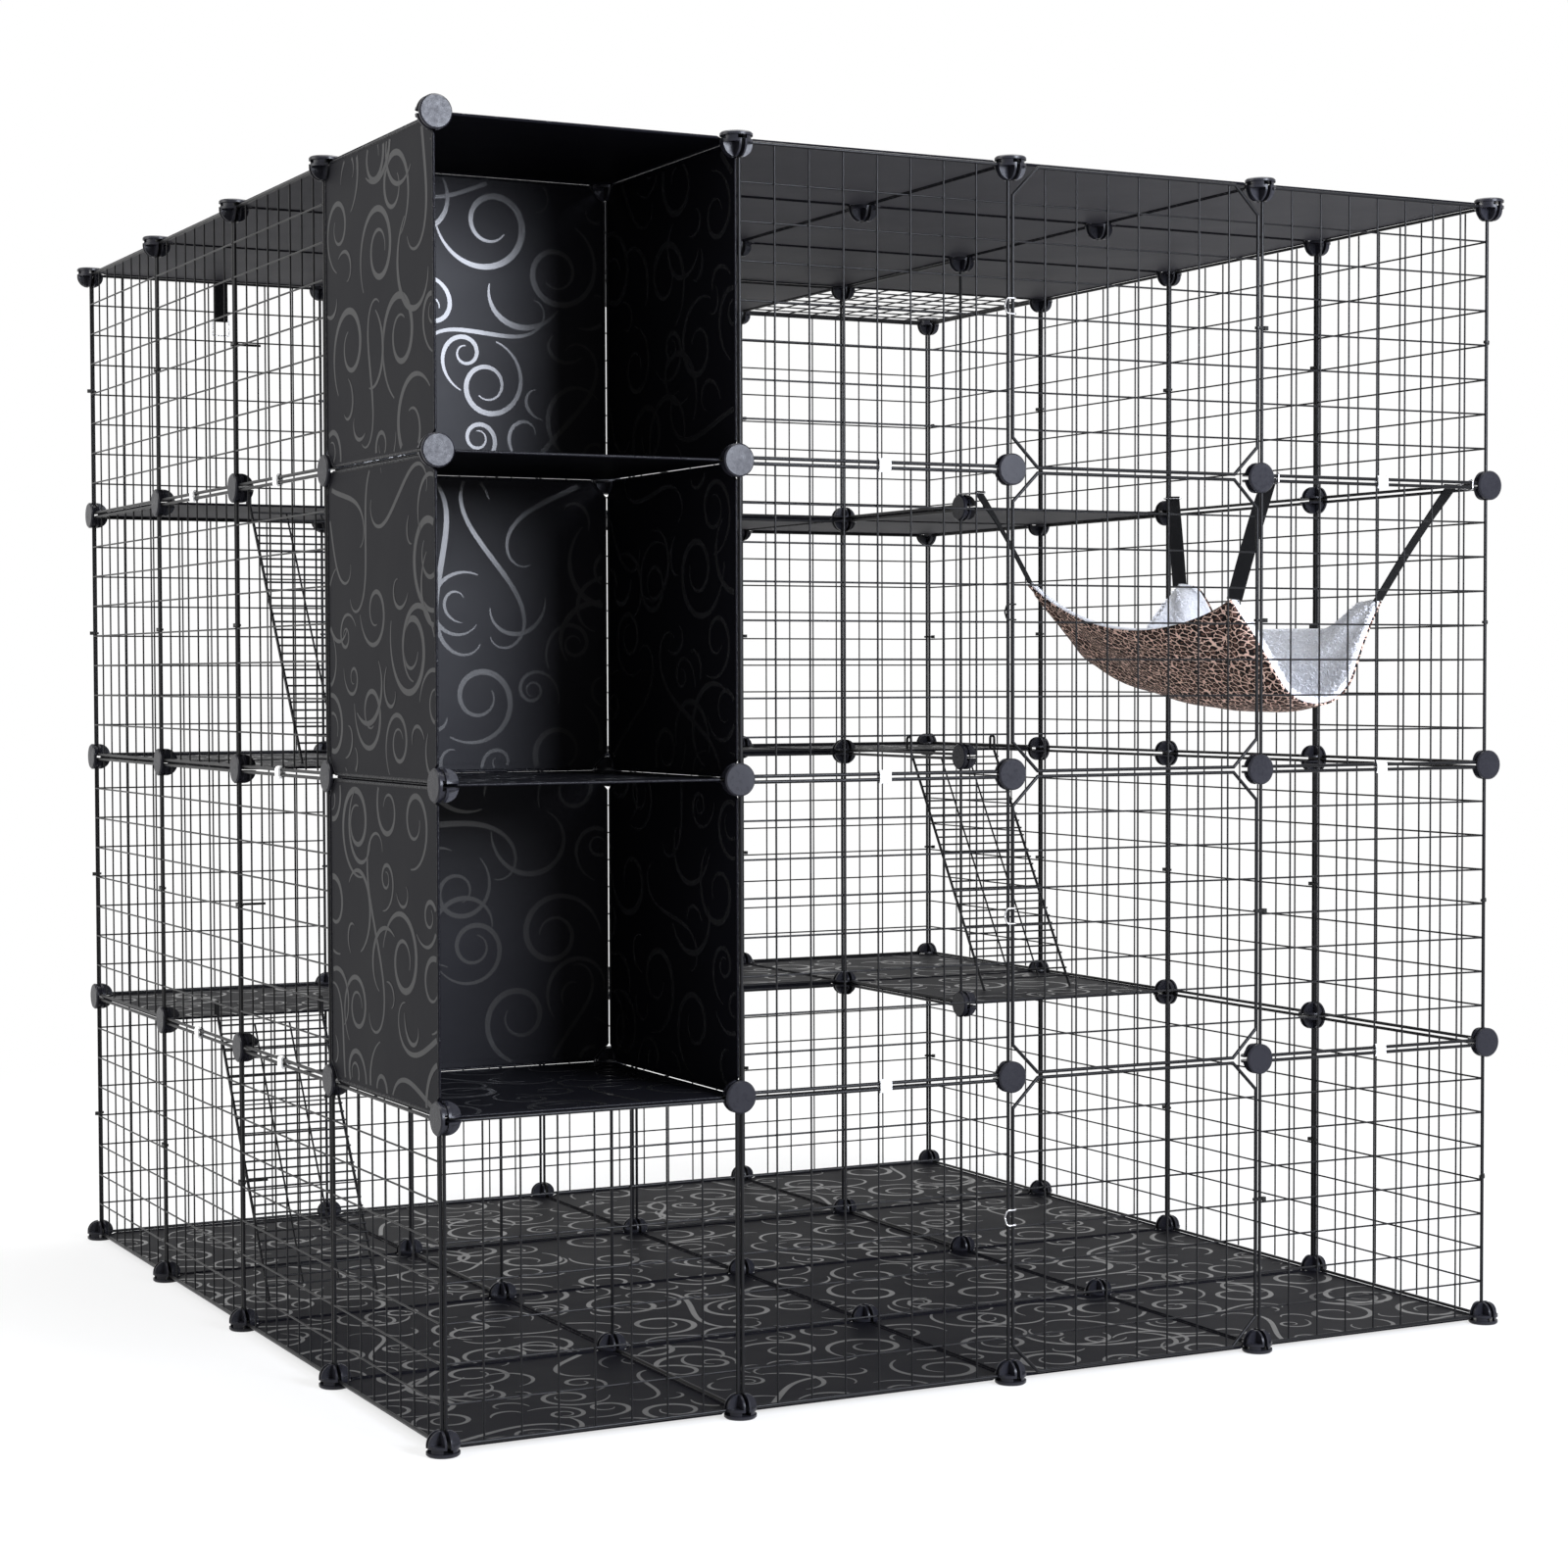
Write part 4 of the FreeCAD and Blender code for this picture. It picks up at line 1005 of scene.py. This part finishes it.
def strap_path(bar, corner, twist):
    """Round the back of the hook's bar, then down to a corner of the hammock, with a sag and a twist."""
    along = (corner - bar).normalized()
    across = Vector((along.y, -along.x, 0)).normalized()
    normal = across.cross(along)
    points = []
    for step in range(BEND_STEPS + 1):
        angle = math.radians(180 * step / BEND_STEPS - 90)
        beside = bar - normal * (EYE_RADIUS * math.sin(angle))
        points.append(beside - along * (EYE_RADIUS * math.cos(angle)))
    acrosses = [across] * len(points)
    start = points[-1]
    for step in range(1, STRAP_STEPS + 1):
        share = step / STRAP_STEPS
        sag = normal * (STRAP_SAG * math.sin(math.pi * share))
        points.append(start.lerp(corner, share) + sag)
        turned = math.radians(twist) * math.sin(math.pi / 2 * min(1, share / TWIST_DONE)) ** 2
        acrosses.append(Matrix.Rotation(turned, 3, along) @ across)
    return points, acrosses


print("a strap has", BEND_STEPS + STRAP_STEPS + 1, "cross lines")

# %% [markdown]
# The front hooks hang on wires of the front wall and the rear ones on two connectors further back. Each
# strap starts at such a point, moved inwards by the reach of the hook, and ends between the layers of
# the hammock, which hide its seam.

# %% Straps of the hammock
STRAP_THICK = 0.0016
HOOK_REACH = 0.034
HOOK_OFFSET = 0.027                      # from a connector to the front hooks, along the wire
POST_HEIGHT = 0.0185 + 0.0003 + 0.0008   # rear hooks lie on a disc: its radius, the gap and their own
LAYER_MIDDLE = 0.00365                   # middle of the hammock's layers, outward of its inner face
SEAM_LIFT = 0.0013
front_y = grid(0, 0, 0).y
wing = grid(3, 2, 0)
right_x = grid(CELLS, 0, 0).x
STRAPS = (               # where the hook hangs, corner of the hammock across and along, twist in degrees
    (Vector((wing.x + HOOK_OFFSET, front_y, UPPER_LEVEL)), -1, 0.0, 10),
    (Vector((right_x - HOOK_OFFSET, front_y, UPPER_LEVEL)), 1, 0.0, -8),
    (Vector((wing.x, wing.y + INSET, UPPER_LEVEL + POST_HEIGHT)), -1, 1.0, -14),
    (Vector((right_x, wing.y - INSET, UPPER_LEVEL + POST_HEIGHT)), 1, 1.0, 10),
)
for number, (held, side, share, twist) in enumerate(STRAPS, 1):
    corner = sling_point(side, share, LAYER_MIDDLE) + Z * SEAM_LIFT
    towards = Vector((corner.x - held.x, corner.y - held.y, 0)).normalized()
    path, acrosses = strap_path(held + towards * HOOK_REACH, corner, twist)
    ribbon(f"hammock_strap_{number}", path, acrosses, STRAP_THICK, "hammock_straps")
print(len(STRAPS), "straps")

# %% [markdown]
# A short loop of the same webbing hangs over the top wire of the back wall, with a ring in its lower
# bend. The roof's rim lies close to that wire, so the loop stays open for a little way beside it. The
# ribbon from above is laid along its two bends and two runs.

# %% The short loop on the back wall
LOOP_PLACE = 0.196       # from the left wall
LOOP_DROP = 0.055
LOOP_RADIUS = 0.00275
LOOP_STEPS = 8
LOOP_THICK = 0.0008


def loop_bend(middle, degrees):
    """A point of a bend of the loop."""
    angle = math.radians(degrees)
    return middle + Vector((0, math.cos(angle), math.sin(angle))) * LOOP_RADIUS


def loop_run(start, way, count):
    """Points of a straight run, up or down, from the end of a bend."""
    return [start + Z * (way * LOOP_DROP * step / LOOP_STEPS) for step in range(1, count + 1)]


top = Vector((grid(0, 0, 0).x + LOOP_PLACE, grid(0, CELLS, 0).y, grid(0, 0, CELLS).z - INSET))
path = [loop_bend(top, degrees) for degrees in range(96, -1, -12)]
path += loop_run(path[-1], -1, LOOP_STEPS - 1)
path += [loop_bend(top - Z * LOOP_DROP, degrees) for degrees in range(0, -181, -15)]
path += loop_run(path[-1], 1, LOOP_STEPS)
ribbon("back_wall_loop", path, [X] * len(path), LOOP_THICK, "hanging_strap")
print("loop of", len(path), "rows")

# %% [markdown]
# The cage stands on white paper. More light would make the paper white and the cage too pale, so what
# the camera sees of the paper is mixed with a plain white glow through the Light Path node. Beside the
# cage it keeps some of its own shade, so that the shadow shows, and further out it is pure white.

# %% Studio floor
PAPER_SIZE = 14
PAPER_DROP = 0.0002      # the paper lies this much below the feet
NEAR_GLOW = 0.70         # share of the glow beside the cage
GLOW_START = 1.1         # the share rises from this distance on
GLOW_RISE = 0.6

deselect()
bpy.ops.mesh.primitive_plane_add(size=PAPER_SIZE, location=(0, 0, -PAPER_DROP))
floor = bpy.context.object
floor.name = "studio_floor"
bpy.ops.object.transform_apply(location=True)
paper = Finish("studio_paper", (0.90, 0.90, 0.90), 0.9)
x, y, _ = paper.parts(paper.place())
far = (((x * x + y * y).root() - GLOW_START) * GLOW_RISE).clamped()
matt = Shade(paper, paper.shader.outputs[0])
glow = paper.node("Emission", {}, 0, {"Strength": 1.0})
paper.shaders(paper.seen() * (NEAR_GLOW + (1 - NEAR_GLOW) * far), matt, glow)
floor.data.materials.append(paper.material)
print("paper laid")

# %% [markdown]
# The sky is white where it is seen, also in gloss, while its light on matt surfaces is softer. Two
# backgrounds do that, with a Light Path that chooses between them. One strong sky would also make the
# background white, but it would wash out the blacks of the cage.

# %% White sky
WHITE = (1.0, 1.0, 1.0, 1)
SKY = 0.42               # strength of the sky's light on matt surfaces

world = bpy.data.worlds.new("white_sky")
bpy.context.scene.world = world
world.use_nodes = True
air = Net(world.node_tree)
sky = Shade(air, air.tree.nodes["Background"].outputs[0])
backdrop = air.node("Background", {}, 0)
for background, strength in ((sky, SKY), (backdrop, 1.0)):
    sockets = background.socket.node.inputs
    air.feed(sockets["Color"], WHITE)
    air.feed(sockets["Strength"], strength)
air.shaders(air.seen(), sky, backdrop)
print("sky", SKY)

# %% [markdown]
# Three large lamps do the rest. A cool one at the front right shines into the cabinet and gives the
# film its sheen, one at the left lifts the cabinet's outer side, and one above lights roof and shelves.
# Small lamps would show in the black gloss as hard spots, and large ones show as a soft sheen.

# %% Lamps
def softbox(name, place, target, width, power, colour=(1.0, 1.0, 1.0)):
    """A large square lamp that faces a point."""
    lamp = bpy.data.lights.new(name, "AREA")
    lamp.size = width
    lamp.energy = power
    lamp.color = colour
    holder = bpy.data.objects.new(name, lamp)
    bpy.context.collection.objects.link(holder)
    holder.location = place
    holder.rotation_euler = (Vector(target) - Vector(place)).to_track_quat("-Z", "Y").to_euler()


softbox("front_right_softbox", (0.95, -4.2, 1.88), (-0.2, 0, 0.8), 1.4, 310, (0.83, 0.88, 1.0))
softbox("left_softbox", (-3.6, 0.6, 2.6), (0, 0, 0.7), 2.2, 90)
softbox("top_softbox", (0.4, 0.2, 4.2), (0, 0, 0.7), 3.0, 180)
print(len(bpy.data.lights), "lamps lit")

# %% [markdown]
# The camera was found by matching the grid of connectors with the picture. It stands low and to the
# left, with a long lens, so that the uprights stay nearly parallel.

# %% Camera
AZIMUTH, ELEVATION, ROLL = -27.28, 2.01, -0.16
CAMERA_PLACE = Vector((-1.8524, -3.7244, 0.8277))
FOCAL_PIXELS, FRAME_PIXELS = 3093.0, 1600.0
lens = bpy.data.cameras.new("camera")
lens.sensor_width = 36.0
lens.lens = FOCAL_PIXELS / FRAME_PIXELS * lens.sensor_width
lens.clip_end = 60
camera = bpy.data.objects.new("camera", lens)
bpy.context.collection.objects.link(camera)
camera.matrix_world = (Matrix.Translation(CAMERA_PLACE)
                       @ Matrix.Rotation(math.radians(AZIMUTH), 4, "Z")
                       @ Matrix.Rotation(math.radians(90 - ELEVATION), 4, "X")
                       @ Matrix.Rotation(math.radians(ROLL), 4, "Z"))
bpy.context.scene.camera = camera
bpy.context.scene.view_settings.view_transform = "Standard"
print("lens", round(lens.lens, 1), "mm")
